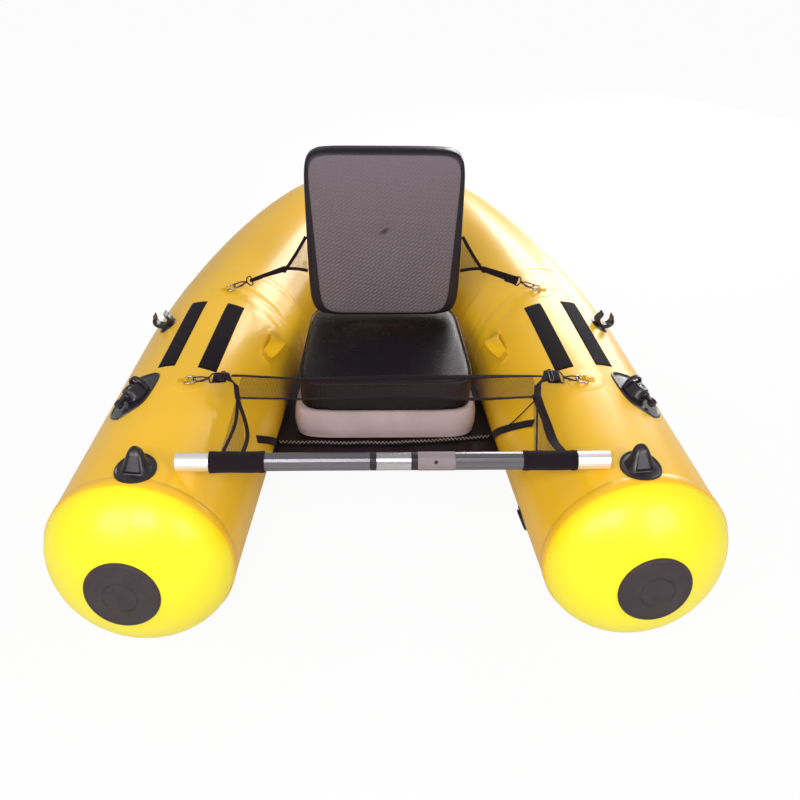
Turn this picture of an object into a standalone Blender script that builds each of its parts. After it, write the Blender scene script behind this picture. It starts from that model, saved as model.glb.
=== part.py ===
import math

import bmesh
import bpy
from mathutils import Matrix, Vector

# Belly boat: an angler's U-shaped inflatable with a raised seat, folding backrest, mesh apron and bar.
# Metres, Z up, the open end of the U towards -Y. Lengths along a tube run rearwards from the cap ring.
# Angles round a tube are 0 outboard, 90 at the crown and 180 inboard.

# Clearance that every touching pair keeps, the overrun of cutters, and the boat's place
gap = 0.0003
cutOver = 0.004
mergeReach = 0.00002
mirrorX = Matrix.Diagonal((-1, 1, 1, 1))

# Air tubes
tubeRadius = 0.170
tubeWall = 0.0009
tubeSides = 24
ringHalf = 0.4459
legTurn = math.radians(5.82)
legLength = 0.588
nearHandle = 0.176
farHandle = 0.2366
sternInner = 0.02783
sternY = 1.3333
sternTurn = math.radians(29.9)
sternHalf = (tubeRadius + sternInner) * math.cos(sternTurn)
curveSteps = 6
bendSteps = 5
panelSteps = 2
lapLength = 0.025
stationMargin = 0.003
skinInwards = -1

# End caps and their rubber discs
capReach = 0.1074
capPower = 1.13
capTilt = math.radians(6.4)
capShares = (0, 14, 28, 42, 54)
discEdge = 64
discInner = 77
discLift = 0.0030
discRimLift = 0.0050
discEdgeLift = 0.0012
discRimRadius = 0.0635
discRimIn = 0.0600
discRingOut = 0.0350
discRingRadius = 0.0310
discRingIn = 0.0270

# Rope holders
holderAlong = 0.045
holderAngle = 91
holderPadLong = 0.042
holderPadWide = 0.036
holderPadThick = 0.0030
holderHeight = 0.040
holderRootLong = 0.020
holderRootWide = 0.022
holderTopLong = 0.008
holderTopWide = 0.011
holderLean = 0.012
holderPocketWall = 0.0060
holderPocketDeep = 0.0050

# Oarlock bases and their clamp knobs
oarlockAlong = 0.285
oarlockAngle = 65
oarlockTurn = math.radians(24)
oarlockPadAlong = 0.287
oarlockPadAngle = 61.5
oarlockPadTurn = math.radians(4)
oarlockPadLong = 0.073
oarlockPadWide = 0.044
oarlockPadShares = ((-1, 0.05), (-0.86, 0.42), (-0.66, 0.76), (-0.42, 0.94), (-0.1, 1), (0.4, 1), (0.78, 0.94),
                    (0.94, 0.80), (1, 0.58))
oarlockPadThick = 0.0028
bossLong = 0.024
bossWide = 0.017
bossTopLong = 0.020
bossTopWide = 0.013
bossFlatLong = 0.0140
bossFlatWide = 0.0098
bossFlatShift = -0.0010
bossHeight = 0.024
bossShift = 0.004
archShift = 0.019
archRadius = 0.0185
archRise = 0.012
archWire = 0.0042
knobHeight = 0.0135
knobPin = 0.0040
knobPinDeep = 0.012
knobRadius = 0.0080
knobLength = 0.013
knobStand = 0.0140
knobClear = 0.0004

# Oar clips
clipAlong = 0.575
clipAngle = 58
clipPadLong = 0.026
clipPadWide = 0.020
clipPadThick = 0.0025
clipInner = 0.0150
clipThick = 0.0055
clipLength = 0.022
clipMouth = math.radians(96)
clipLean = math.radians(-14)
clipFlare = 0.0050

# Hook tape strips
stripFront = 0.377
stripRear = 0.649
stripThick = 0.0018
innerStrip = (99.3, 112.2)
outerStrip = (71.4, 83.8)

# Webbing grab loops
loopFront = 0.520
loopRear = 0.635
loopAngle = 142
loopFoot = 0.020
loopHalf = 0.0125
loopThick = 0.0016
loopRise = 0.021

# D-rings and their patches
ringFrontAlong = 0.323
ringFrontAngle = 96
ringFrontLift = math.radians(5)
ringRearAlong = 0.708
ringRearAngle = 93.5
patchRadius = 0.036
patchThick = 0.0012
tabHalfLong = 0.0090
tabHalfWide = 0.0055
tabHeight = 0.0080
ringWire = 0.0020
ringHalfWide = 0.0125
ringDeep = 0.0200
ringBoreHeight = 0.0047
ringBoreClear = 0.0003

# Bent wire hooks
hookWire = 0.0015
hookBend = 0.0050
hookLower = 0.033
hookNose = 0.0375
hookUpper = 0.034
hookShank = 0.045
hookShoulder = 0.050
hookBar = 0.058
hookClose = 0.0036
webLoopClear = 0.0004

# Apron across the front
apronBarHalf = 0.0215
apronBandHalf = 0.0200
apronTail = 0.022
apronSide = 0.2850
apronRear = 0.3180
apronFront = 0.2450
apronStrapHalf = 0.0080
apronRearHalf = 0.0060
apronFrontHalf = 0.0040
apronStrapThick = 0.0014
apronMeshThick = 0.0007
apronFootInset = 0.0245
apronWingReach = 0.0430
apronMeshLap = 0.0060

# Spreader bar
barY = 0.055
barEnd = 0.377
barShift = 0.007
barRadius = 0.0160
barWall = 0.0022
barSides = 20
leftTubeEnd = -0.042
shoulderWidth = 0.011
midSleeveEnd = 0.0295
collarLength = 0.065
collarRadius = 0.0166
collarSpigot = 0.032
couplerSpigot = 0.058
couplerRadius = 0.0131
couplerCore = 0.0120
buttonX = 0.072
buttonPitch = math.radians(30)
buttonRadius = 0.0030
buttonHole = 0.0034
buttonFoot = 0.0065
buttonDeep = 0.0025
buttonStand = 0.0012
sleeveInner = 0.2245
sleeveOuter = 0.3195
sleeveWall = 0.0014

# Floor sheet and the tape across it
floorFront = 0.360
floorRear = 0.800
floorThick = 0.0008
floorEdgeAngle = 200
floorFlangeAngle = 209
tapeY = 0.430
tapeHalf = 0.0065
tapeThick = 0.0010
tapeSlack = 0.003
tapeTopAngle = 150
tapeDrift = 0.048

# Seat box, seat cushion and backrest
boxFront = 0.426
boxRear = 0.780
boxFrontHalf = 0.207
boxRearHalf = 0.170
boxHeight = 0.076
boxCorner = 0.045
cushionFront = 0.420
cushionRear = 0.765
cushionFrontHalf = 0.193
cushionRearHalf = 0.171
cushionHeight = 0.082
cushionCorner = 0.040
cushionCrown = 0.006
backY = 0.690
backHeight = 0.379
backThick = 0.050
backHalf = 0.186
backFootHalf = 0.175
backCorner = 0.036
backLean = math.radians(12)
backCrown = 0.007
backTuftDeep = 0.006
backSinkShare = 0.24
padSides = 32

# Backrest stays
stayHighRise = 0.1833
stayLowRise = 0.0973
stayForkRise = 0.0347
stayForkShare = 0.73
stayBarHalf = 0.0115
stayBandHalf = 0.0100
stayLegHalf = 0.0040
stayThick = 0.0014
stayMeshThick = 0.0006
stayTail = 0.020
stayJoin = 0.012
stayWeltShare = 0.70

# Valves
valveRightAlong = 0.190
valveRightAngle = 202.5
valveLeftAlong = 0.660
valveLeftAngle = 7.5
valveSides = 16
valveFlange = 0.028
valveFlangeThick = 0.0024
valveStem = 0.0190
valveStemClear = 0.0006
valveDepth = 0.014
valveBore = 0.0135
valveBoreDeep = 0.011
valveNeck = 0.0030
valveCap = 0.0220
valveCapThick = 0.0036
valvePlug = 0.0128
valvePlugDeep = 0.006

# Chamber wall at the stern
baffleThick = 0.0009

# Finishes: colour, metallic, roughness
pvcYellow = ((0.84, 0.62, 0.06), 0.0, 0.28)
capYellow = ((0.95, 0.80, 0.03), 0.0, 0.28)
blackRubber = ((0.045, 0.042, 0.044), 0.0, 0.55)
blackPlastic = ((0.030, 0.030, 0.033), 0.0, 0.40)
blackWebbing = ((0.035, 0.028, 0.032), 0.0, 0.85)
blackMesh = ((0.060, 0.050, 0.050), 0.0, 0.90)
blackVinyl = ((0.020, 0.019, 0.022), 0.0, 0.30)
greyVinyl = ((0.120, 0.100, 0.115), 0.0, 0.50)
greyPlastic = ((0.420, 0.370, 0.350), 0.0, 0.45)
seatGrey = ((0.360, 0.300, 0.280), 0.0, 0.45)
steel = ((0.620, 0.610, 0.600), 1.0, 0.25)
barSilver = ((0.700, 0.700, 0.710), 1.0, 0.22)


for old in list(bpy.data.objects):
    bpy.data.objects.remove(old, do_unlink=True)

boat = bpy.data.collections.new("belly_boat")
bpy.context.scene.collection.children.link(boat)
parts = []


# Shared builders

def facingOut(mesh):
    # Faces turned outwards, also on thin sheets, where Blender can take the inner side for the outer
    tidy = bmesh.new()
    tidy.from_mesh(mesh)
    bmesh.ops.recalc_face_normals(tidy, faces=tidy.faces)
    if tidy.calc_volume(signed=True) < 0:
        bmesh.ops.reverse_faces(tidy, faces=tidy.faces)
    tidy.to_mesh(mesh)
    tidy.free()
    return mesh


def evaluated(name, data, *modifiers):
    # The mesh of an object once its modifiers, given as (kind, settings), are applied
    item = bpy.data.objects.new(name, data)
    boat.objects.link(item)
    for kind, settings in modifiers:
        step = item.modifiers.new(kind.lower(), kind)
        for key, value in settings.items():
            setattr(step, key, value)
    graph = bpy.context.evaluated_depsgraph_get()
    mesh = bpy.data.meshes.new_from_object(item.evaluated_get(graph))
    bpy.data.objects.remove(item, do_unlink=True)
    return mesh


def welded(mesh, distance):
    tidy = bmesh.new()
    tidy.from_mesh(mesh)
    bmesh.ops.remove_doubles(tidy, verts=tidy.verts, dist=distance)
    tidy.to_mesh(mesh)
    tidy.free()
    return facingOut(mesh)


def finishMaterial(name, finish):
    colour, metallic, roughness = finish
    material = bpy.data.materials.new(name)
    material.use_nodes = True
    shader = material.node_tree.nodes["Principled BSDF"]
    shader.inputs["Base Color"].default_value = (*colour, 1)
    shader.inputs["Metallic"].default_value = metallic
    shader.inputs["Roughness"].default_value = roughness
    return material


def addPart(name, mesh, finish, origin=None):
    centre = Vector(origin) if origin is not None else Vector((0, 0, 0))
    mesh.transform(Matrix.Translation(-centre))
    mesh.name = name
    mesh.materials.clear()
    mesh.materials.append(finishMaterial(name, finish))
    mesh.polygons.foreach_set("use_smooth", [True] * len(mesh.polygons))
    mesh.set_sharp_from_angle(angle=math.radians(35))
    item = bpy.data.objects.new(name, mesh)
    item.location = centre
    boat.objects.link(item)
    parts.append(item)
    return item


def mirrored(mesh):
    twin = mesh.copy()
    twin.transform(mirrorX)
    twin.flip_normals()
    return twin


def addPair(name, mesh, finish, origin=None):
    twin = mirrored(mesh)
    twinOrigin = mirrorX @ Vector(origin) if origin is not None else None
    addPart(name + "_right", mesh, finish, origin)
    addPart(name + "_left", twin, finish, twinOrigin)


def combined(target, tool, operation):
    # One exact boolean between two closed meshes, given back as a new mesh
    cutter = bpy.data.objects.new("cutter", tool)
    boat.objects.link(cutter)
    result = evaluated("body", target, ("BOOLEAN", {"operation": operation, "solver": "EXACT", "object": cutter}))
    bpy.data.objects.remove(cutter, do_unlink=True)
    return result


def loft(name, rings, closed=True):
    # Quads between rings of equal count. A ring of one point is a pole.
    surface = bmesh.new()
    rows = [[surface.verts.new(p) for p in ring] for ring in rings]
    for low, high in zip(rows, rows[1:]):
        count = max(len(low), len(high))
        for i in range(count if closed else count - 1):
            j = (i + 1) % count
            corners = [low[i % len(low)], high[i % len(high)], high[j % len(high)], low[j % len(low)]]
            surface.faces.new(dict.fromkeys(corners))
    mesh = bpy.data.meshes.new(name)
    surface.to_mesh(mesh)
    surface.free()
    return mesh


def solidLoft(name, rings):
    return facingOut(loft(name, rings))


def thickened(mesh, thickness, offset=1, even=True):
    # A closed sheet from an open surface: offset 1 grows it outwards, -1 inwards and 0 both ways
    settings = {"thickness": thickness, "offset": offset, "use_even_offset": even}
    return facingOut(evaluated(mesh.name, mesh, ("SOLIDIFY", settings)))


def revolve(name, profile, sides, frame):
    # Profile points are (radius, height along the frame's z axis), from pole to pole or closed on itself
    outline = bmesh.new()
    points = [outline.verts.new((radius, 0, height)) for radius, height in profile]
    for a, b in zip(points, points[1:]):
        outline.edges.new((a, b))
    if profile[0][0] > 0:
        outline.edges.new((points[-1], points[0]))
    mesh = bpy.data.meshes.new(name)
    outline.to_mesh(mesh)
    outline.free()
    settings = {"steps": sides, "render_steps": sides, "use_merge_vertices": True, "merge_threshold": mergeReach}
    mesh = facingOut(evaluated(name, mesh, ("SCREW", settings)))
    mesh.transform(frame)
    return mesh


def prism(name, outline, frame, low, high):
    # A flat outline in the frame's x and y, between two heights on its z axis
    curve = bpy.data.curves.new(name, "CURVE")
    curve.dimensions = "2D"
    curve.fill_mode = "BOTH"
    curve.extrude = (high - low) / 2
    spline = curve.splines.new("POLY")
    spline.points.add(len(outline) - 1)
    for point, (x, y) in zip(spline.points, outline):
        point.co = (x, y, 0, 1)
    spline.use_cyclic_u = True
    mesh = welded(evaluated(name, curve), mergeReach)
    mesh.transform(frame @ Matrix.Translation((0, 0, (low + high) / 2)))
    return mesh


def wire(name, points, radius, closed):
    # A round bent wire through the points
    curve = bpy.data.curves.new(name, "CURVE")
    curve.dimensions = "3D"
    curve.bevel_depth = radius
    curve.bevel_resolution = 1
    curve.use_fill_caps = True
    spline = curve.splines.new("POLY")
    spline.points.add(len(points) - 1)
    for point, place in zip(spline.points, points):
        point.co = (*place, 1)
    spline.use_cyclic_u = closed
    return welded(evaluated(name, curve), mergeReach)


def ribbon(name, path, across, thickness):
    # A strap along the path. Across holds the half width vector at each point.
    rows = [[centre - half, centre + half] for centre, half in zip(path, across)]
    return thickened(loft(name, rows, closed=False), thickness, 0, even=False)


def frameOf(origin, x, y, z):
    frame = Matrix.Identity(4)
    for column, axis in enumerate((x, y, z)):
        for row in range(3):
            frame[row][column] = axis[row]
    for row in range(3):
        frame[row][3] = origin[row]
    return frame


def arc(cx, cy, radius, start, end, steps):
    turns = [start + (end - start) * k / steps for k in range(steps + 1)]
    return [(cx + radius * math.cos(t), cy + radius * math.sin(t)) for t in turns]


# Air tube surface

def centreStations():
    # Axis points of the right half, from the cap ring to the middle of the stern, each with its heading
    stations = []
    for k in range(3):
        run = legLength * k / 2
        stations.append((ringHalf - run * math.sin(legTurn), run * math.cos(legTurn), legTurn))
    startX, startY, _ = stations[-1]
    a = Vector((startX, startY))
    b = a + nearHandle * Vector((-math.sin(legTurn), math.cos(legTurn)))
    d = Vector((sternHalf, sternY))
    c = d - farHandle * Vector((-math.sin(sternTurn), math.cos(sternTurn)))
    for k in range(1, curveSteps + 1):
        t = k / curveSteps
        u = 1 - t
        place = a * u ** 3 + b * (3 * u * u * t) + c * (3 * u * t * t) + d * t ** 3
        slope = (b - a) * (u * u) + (c - b) * (2 * u * t) + (d - c) * (t * t)
        stations.append((place.x, place.y, math.atan2(-slope.x, slope.y)))
    bend = sternHalf / math.cos(sternTurn)
    middleY = sternY - bend * math.sin(sternTurn)
    for k in range(1, bendSteps + 1):
        heading = sternTurn + (math.pi / 2 - sternTurn) * k / bendSteps
        stations.append((bend * math.cos(heading), middleY + bend * math.sin(heading), heading))
    return stations


axisStations = centreStations()
alongStations = [0]
for before, after in zip(axisStations, axisStations[1:]):
    alongStations.append(alongStations[-1] + math.dist(before[:2], after[:2]))
halfHull = alongStations[-1]
panelSeam = alongStations[2 + panelSteps]
sideAngle = 360 / tubeSides


def stationPoint(k, angle, lift):
    x, y, heading = axisStations[k]
    reach = tubeRadius + lift
    turn = math.radians(angle)
    out = Vector((math.cos(heading), math.sin(heading), 0))
    up = Vector((0, 0, reach * math.sin(turn)))
    return Vector((x, y, tubeRadius)) + out * (reach * math.cos(turn)) + up


def hullPoint(along, angle, lift=0.0):
    # A point on the faceted tube, lifted off it. Past the middle of the stern it is on the left half.
    if along > halfHull:
        return mirrorX @ hullPoint(2 * halfHull - along, angle, lift)
    k = 0
    while k < len(alongStations) - 2 and alongStations[k + 1] < along:
        k += 1
    share = (along - alongStations[k]) / (alongStations[k + 1] - alongStations[k])
    low = math.floor(angle / sideAngle) * sideAngle
    turnShare = (angle - low) / sideAngle
    near = stationPoint(k, low, lift).lerp(stationPoint(k, low + sideAngle, lift), turnShare)
    far = stationPoint(k + 1, low, lift).lerp(stationPoint(k + 1, low + sideAngle, lift), turnShare)
    return near.lerp(far, share)


def headingAt(along):
    k = 0
    while k < len(alongStations) - 2 and alongStations[k + 1] < along:
        k += 1
    share = (along - alongStations[k]) / (alongStations[k + 1] - alongStations[k])
    return axisStations[k][2] + share * (axisStations[k + 1][2] - axisStations[k][2])


def hullFrame(along, angle, lift=0.0, turn=0.0):
    # x rearwards along the tube, y inboard across it, z out of it, turned about z
    heading = headingAt(along)
    tilt = math.radians(angle)
    rear = Vector((-math.sin(heading), math.cos(heading), 0))
    out = Vector((math.cos(heading), math.sin(heading), 0))
    normal = out * math.cos(tilt) + Vector((0, 0, math.sin(tilt)))
    across = normal.cross(rear)
    frame = frameOf(hullPoint(along, angle, lift), rear, across, normal)
    return frame @ Matrix.Rotation(turn, 4, "Z")


def tubeRings(profile):
    # Full rings round the tube for (along, lift) pairs
    angles = [sideAngle * k for k in range(tubeSides)]
    return [[hullPoint(along, angle, lift) for angle in angles] for along, lift in profile]


def stationsBetween(low, high):
    every = alongStations + [2 * halfHull - s for s in reversed(alongStations[:-1])]
    return [s for s in every if low + stationMargin < s < high - stationMargin]


def hullSlab(name, lowAlong, highAlong, lowAngle, highAngle, lift, thickness):
    # A patch that lies on the tube, with the tube's own facets
    rows = [lowAlong] + stationsBetween(lowAlong, highAlong) + [highAlong]
    columns = [lowAngle]
    step = math.floor(lowAngle / sideAngle) + 1
    while step * sideAngle < highAngle:
        columns.append(step * sideAngle)
        step += 1
    columns.append(highAngle)
    grid = [[hullPoint(s, angle, lift) for angle in columns] for s in rows]
    return thickened(loft(name, grid, closed=False), thickness)


def padOnHull(name, along, angle, turn, outline, thickness):
    # A patch of any outline, in the turned frame's x and y, that lies on the tube
    reach = max(math.hypot(x, y) for x, y in outline) + cutOver
    spread = math.degrees(reach / tubeRadius)
    slab = hullSlab(name, along - reach, along + reach, angle - spread, angle + spread, gap, thickness)
    deep = reach * reach / tubeRadius + cutOver
    cutter = prism(name, outline, hullFrame(along, angle, 0, turn), -deep, thickness + cutOver)
    return combined(slab, cutter, "INTERSECT")


def oval(halfLong, halfWide, steps):
    turns = [2 * math.pi * (k + 0.5) / steps for k in range(steps)]
    return [(halfLong * math.cos(t), halfWide * math.sin(t)) for t in turns]


# Air tubes

def domePoint(degrees, lift):
    turn = math.radians(degrees)
    radius = (tubeRadius + lift) * max(math.cos(turn), 0) ** capPower
    return radius, (capReach + lift) * math.sin(turn) ** capPower


def domeDegrees(radius):
    return math.degrees(math.acos((radius / tubeRadius) ** (1 / capPower)))


def capPoint(radius, reach, angle):
    # The dome bends upwards towards its tip
    x, y, heading = axisStations[0]
    out = Vector((math.cos(heading), math.sin(heading), 0))
    ahead = Vector((math.sin(heading), -math.cos(heading), 0))
    turn = math.radians(angle)
    bend = capTilt * max(reach, 0) / capReach
    side = radius * math.cos(turn)
    rise = radius * math.sin(turn)
    up = rise * math.cos(bend) + reach * math.sin(bend)
    forward = reach * math.cos(bend) - rise * math.sin(bend)
    return Vector((x, y, tubeRadius)) + out * side + ahead * forward + Vector((0, 0, up))


def capRings(profile):
    angles = [sideAngle * k for k in range(tubeSides)]
    rings = []
    for radius, reach in profile:
        count = 1 if radius < gap else tubeSides
        rings.append([capPoint(radius, reach, angle) for angle in angles[:count]])
    return rings


def makeEndCaps():
    # The dome ends in a skirt that is lapped inside the leg tube
    lapRadius = tubeRadius - tubeWall - gap
    profile = [domePoint(d, 0) for d in (90, discInner, discEdge, *reversed(capShares))]
    profile += [(lapRadius, 0), (lapRadius, -lapLength)]
    shell = thickened(loft("end_cap", capRings(profile)), tubeWall, skinInwards)
    addPair("end_cap", shell, capYellow)


def makeEndDiscs():
    edge = domeDegrees(discRimRadius)
    top = [(90, discLift), (domeDegrees(discRingIn), discLift), (domeDegrees(discRingRadius), discRimLift)]
    top += [(domeDegrees(discRingOut), discLift), (domeDegrees(discRimIn), discLift)]
    top += [(edge, discRimLift), (discEdge, discEdgeLift)]
    bottom = [(discEdge, 0), (discInner, 0), (90, 0)]
    profile = [domePoint(d, gap + lift) for d, lift in top + bottom]
    addPair("end_disc", solidLoft("end_disc", capRings(profile)), blackRubber)


def legTube(valveAlong, valveAngle):
    ends = [gap] + stationsBetween(gap, panelSeam) + [panelSeam - gap]
    shell = thickened(loft("leg_tube", tubeRings((s, 0) for s in ends)), tubeWall, skinInwards)
    hole = [(0, -valveDepth), (valveStem + valveStemClear, -valveDepth)]
    hole += [(valveStem + valveStemClear, cutOver), (0, cutOver)]
    return combined(shell, revolve("hole", hole, valveSides, hullFrame(valveAlong, valveAngle)), "DIFFERENCE")


def makeLegTubes():
    addPart("leg_tube_right", legTube(valveRightAlong, valveRightAngle), pvcYellow)
    addPart("leg_tube_left", mirrored(legTube(valveLeftAlong, valveLeftAngle)), pvcYellow)


def makeSternTube():
    # Both ends step down into a skirt that is lapped inside the leg tubes
    low = panelSeam
    high = 2 * halfHull - panelSeam
    lapLift = -tubeWall - gap
    profile = [(low - lapLength, lapLift), (low, lapLift)]
    profile += [(s, 0) for s in [low] + stationsBetween(low, high) + [high]]
    profile += [(high, lapLift), (high + lapLength, lapLift)]
    shell = thickened(loft("stern_tube", tubeRings(profile)), tubeWall, skinInwards)
    addPart("stern_tube", shell, pvcYellow)


def makeBaffle():
    x, y, heading = axisStations[-1]
    across = frameOf(Vector((x, y, tubeRadius)), Vector((0, 1, 0)), Vector((0, 0, 1)), Vector((1, 0, 0)))
    radius = tubeRadius - tubeWall - gap * 2
    turns = [math.radians(sideAngle * k) for k in range(tubeSides)]
    outline = [(radius * math.cos(t), radius * math.sin(t)) for t in turns]
    addPart("chamber_baffle", prism("baffle", outline, across, -baffleThick / 2, baffleThick / 2), pvcYellow)


# Tube fittings

def rectRing(frame, halfLong, halfWide, shift, height, steps=16):
    # A soft rectangle in the frame's x and y
    ring = []
    for k in range(steps):
        turn = 2 * math.pi * (k + 0.5) / steps
        c = math.cos(turn)
        s = math.sin(turn)
        x = halfLong * math.copysign(abs(c) ** 0.6, c)
        y = halfWide * math.copysign(abs(s) ** 0.6, s)
        ring.append(frame @ Vector((x + shift, y, height)))
    return ring


def tower(name, frame, levels):
    rings = [[frame @ Vector((levels[0][2], 0, levels[0][3]))]]
    rings += [rectRing(frame, *level) for level in levels]
    rings += [[frame @ Vector((levels[-1][2], 0, levels[-1][3]))]]
    return solidLoft(name, rings)


def makeRopeHolders():
    frame = hullFrame(holderAlong, holderAngle)
    pad = padOnHull("holder", holderAlong, holderAngle, 0, oval(holderPadLong, holderPadWide, 24), holderPadThick)
    levels = []
    for share in (0, 0.35, 0.7, 0.9, 1):
        height = gap + holderPadThick / 2 + share * (holderHeight - holderPadThick / 2)
        round = (1, 1, 1, 0.92, 0.55)[len(levels)]
        halfLong = (holderRootLong + share * (holderTopLong - holderRootLong)) * round
        halfWide = (holderRootWide + share * (holderTopWide - holderRootWide)) * round
        levels.append((halfLong, halfWide, share * holderLean, height))
    solid = combined(pad, tower("fin", frame, levels), "UNION")
    pocket = []
    for share in (0.12, 0.72):
        front = -holderRootLong - share * (holderTopLong - holderRootLong - holderLean)
        wide = holderRootWide + share * (holderTopWide - holderRootWide) - holderPocketWall
        deep = front + holderPocketDeep
        corners = [(front - holderRootLong, -wide), (front - holderRootLong, wide), (deep, wide), (deep, -wide)]
        pocket.append([frame @ Vector((x, y, share * holderHeight)) for x, y in corners])
    ends = [[(ring[0] + ring[2]) / 2] for ring in pocket]
    cutter = solidLoft("pocket", [ends[0], *pocket, ends[1]])
    solid = combined(solid, cutter, "DIFFERENCE")
    addPair("rope_holder", solid, blackRubber)


def oarlockOutline():
    # Pointed in front and square behind
    edge = [(oarlockPadLong * x, oarlockPadWide * y) for x, y in oarlockPadShares]
    return edge + [(x, -y) for x, y in reversed(edge)]


def makeOarlocks():
    frame = hullFrame(oarlockAlong, oarlockAngle, 0, oarlockTurn)
    pad = padOnHull("oarlock", oarlockPadAlong, oarlockPadAngle, oarlockPadTurn, oarlockOutline(),
                    oarlockPadThick)
    root = gap + oarlockPadThick / 2
    chamfer = bossHeight * 0.8
    boss = tower("boss", frame, [(bossLong, bossWide, bossShift, root),
                                 (bossTopLong, bossTopWide, bossShift, chamfer),
                                 (bossFlatLong, bossFlatWide, bossFlatShift, bossHeight)])
    solid = combined(pad, boss, "UNION")
    arch = [(-archRadius, root)] + [(-x, archRise + z) for x, z in arc(0, 0, archRadius, 0, math.pi, 10)]
    arch += [(archRadius, root)]
    path = [frame @ Vector((archShift, y, z)) for y, z in arch]
    solid = combined(solid, wire("arch", path, archWire, False), "UNION")
    face = bossShift - bossLong
    knobFrame = frame @ Matrix.Translation((face, 0, knobHeight)) @ Matrix.Rotation(-math.pi / 2, 4, "Y")
    bore = revolve("bore", [(0, -knobPinDeep - knobClear), (knobPin + knobClear, -knobPinDeep - knobClear),
                            (knobPin + knobClear, knobStand), (0, knobStand)], 16, knobFrame)
    solid = combined(solid, bore, "DIFFERENCE")
    addPair("oarlock_base", solid, blackRubber)
    rim = knobRadius * 0.85
    end = knobStand + knobLength
    profile = [(0, -knobPinDeep), (knobPin, -knobPinDeep), (knobPin, knobStand), (knobRadius, knobStand + knobClear),
               (knobRadius, end - knobClear * 4), (rim, end), (0, end)]
    knob = revolve("oarlock_knob", profile, 16, knobFrame)
    addPair("oarlock_knob", knob, blackPlastic, knobFrame.translation)


def makeOarClips():
    pad = padOnHull("clip", clipAlong, clipAngle, 0, oval(clipPadLong, clipPadWide, 20), clipPadThick)
    outerRadius = clipInner + clipThick
    centre = gap + clipPadThick * 0.6 + outerRadius
    low = math.pi / 2 + clipLean + clipMouth / 2
    high = math.pi / 2 + clipLean + 2 * math.pi - clipMouth / 2
    outer = arc(0, centre, outerRadius, low, high, 14)
    inner = arc(0, centre, clipInner, high, low, 14)
    tipOut = math.hypot(clipInner, clipFlare) + clipThick
    firstTip = [(tipOut * math.cos(low - 0.25), centre + tipOut * math.sin(low - 0.25))]
    lastTip = [(tipOut * math.cos(high + 0.25), centre + tipOut * math.sin(high + 0.25))]
    outline = outer + lastTip + inner + firstTip
    # The ring's outline lies in the frame's y and z, and it is drawn along x
    frame = hullFrame(clipAlong, clipAngle)
    turned = frame @ Matrix(((0, 0, 1, 0), (1, 0, 0, 0), (0, 1, 0, 0), (0, 0, 0, 1)))
    ring = prism("ring", outline, turned, -clipLength / 2, clipLength / 2)
    addPair("oar_clip", combined(pad, ring, "UNION"), blackPlastic)


def makeStrips():
    for name, (low, high) in (("hook_strip_inner", innerStrip), ("hook_strip_outer", outerStrip)):
        strip = hullSlab(name, stripFront, stripRear, low, high, gap, stripThick)
        addPair(name, strip, blackWebbing)


def makeGrabLoops():
    path = []
    across = []
    lift = gap + loopThick / 2
    rise = loopRear - loopFront - 2 * loopFoot
    stops = [(loopFront, lift), (loopFront + loopFoot, lift)]
    for k in range(1, 8):
        share = k / 8
        stops.append((loopFront + loopFoot + rise * share, lift + loopRise * math.sin(math.pi * share) ** 0.8))
    stops += [(loopRear - loopFoot, lift), (loopRear, lift)]
    for along, height in stops:
        path.append(hullPoint(along, loopAngle, height))
        across.append((hullPoint(along, loopAngle + 1) - hullPoint(along, loopAngle - 1)).normalized() * loopHalf)
    addPair("grab_loop", ribbon("grab_loop", path, across, loopThick), pvcYellow)


def makeValve(side, along, angle):
    frame = hullFrame(along, angle)
    body = padOnHull("valve", along, angle, 0, oval(valveFlange, valveFlange, valveSides), valveFlangeThick)
    stem = revolve("stem", [(0, -valveDepth), (valveStem, -valveDepth), (valveStem, valveNeck), (0, valveNeck)],
                   valveSides, frame)
    body = combined(body, stem, "UNION")
    bore = revolve("bore", [(0, -valveBoreDeep), (valveBore, -valveBoreDeep),
                            (valveBore, valveNeck + cutOver), (0, valveNeck + cutOver)], valveSides, frame)
    body = combined(body, bore, "DIFFERENCE")
    low = valveNeck + gap
    profile = [(0, low - valvePlugDeep), (valvePlug, low - valvePlugDeep), (valvePlug, low), (valveCap, low),
               (valveCap, low + valveCapThick * 0.7), (valveCap * 0.9, low + valveCapThick),
               (0, low + valveCapThick)]
    cap = revolve("cap", profile, valveSides, frame)
    origin = frame.translation
    if side == "left":
        body = mirrored(body)
        cap = mirrored(cap)
        origin = mirrorX @ origin
    addPart("valve_body_" + side, body, blackPlastic)
    addPart("valve_cap_" + side, cap, blackPlastic, origin)


# D-rings, hooks and webbing

def ringFrame(along, angle, ahead):
    # x along the ring's bar, y from the bar towards the pull, z up from the ring's plane
    base = hullFrame(along, angle, ringBoreHeight)
    z = ahead.cross(Vector((0, 0, 1))).cross(ahead).normalized()
    return frameOf(base.translation, ahead.cross(z), ahead, z)


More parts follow.
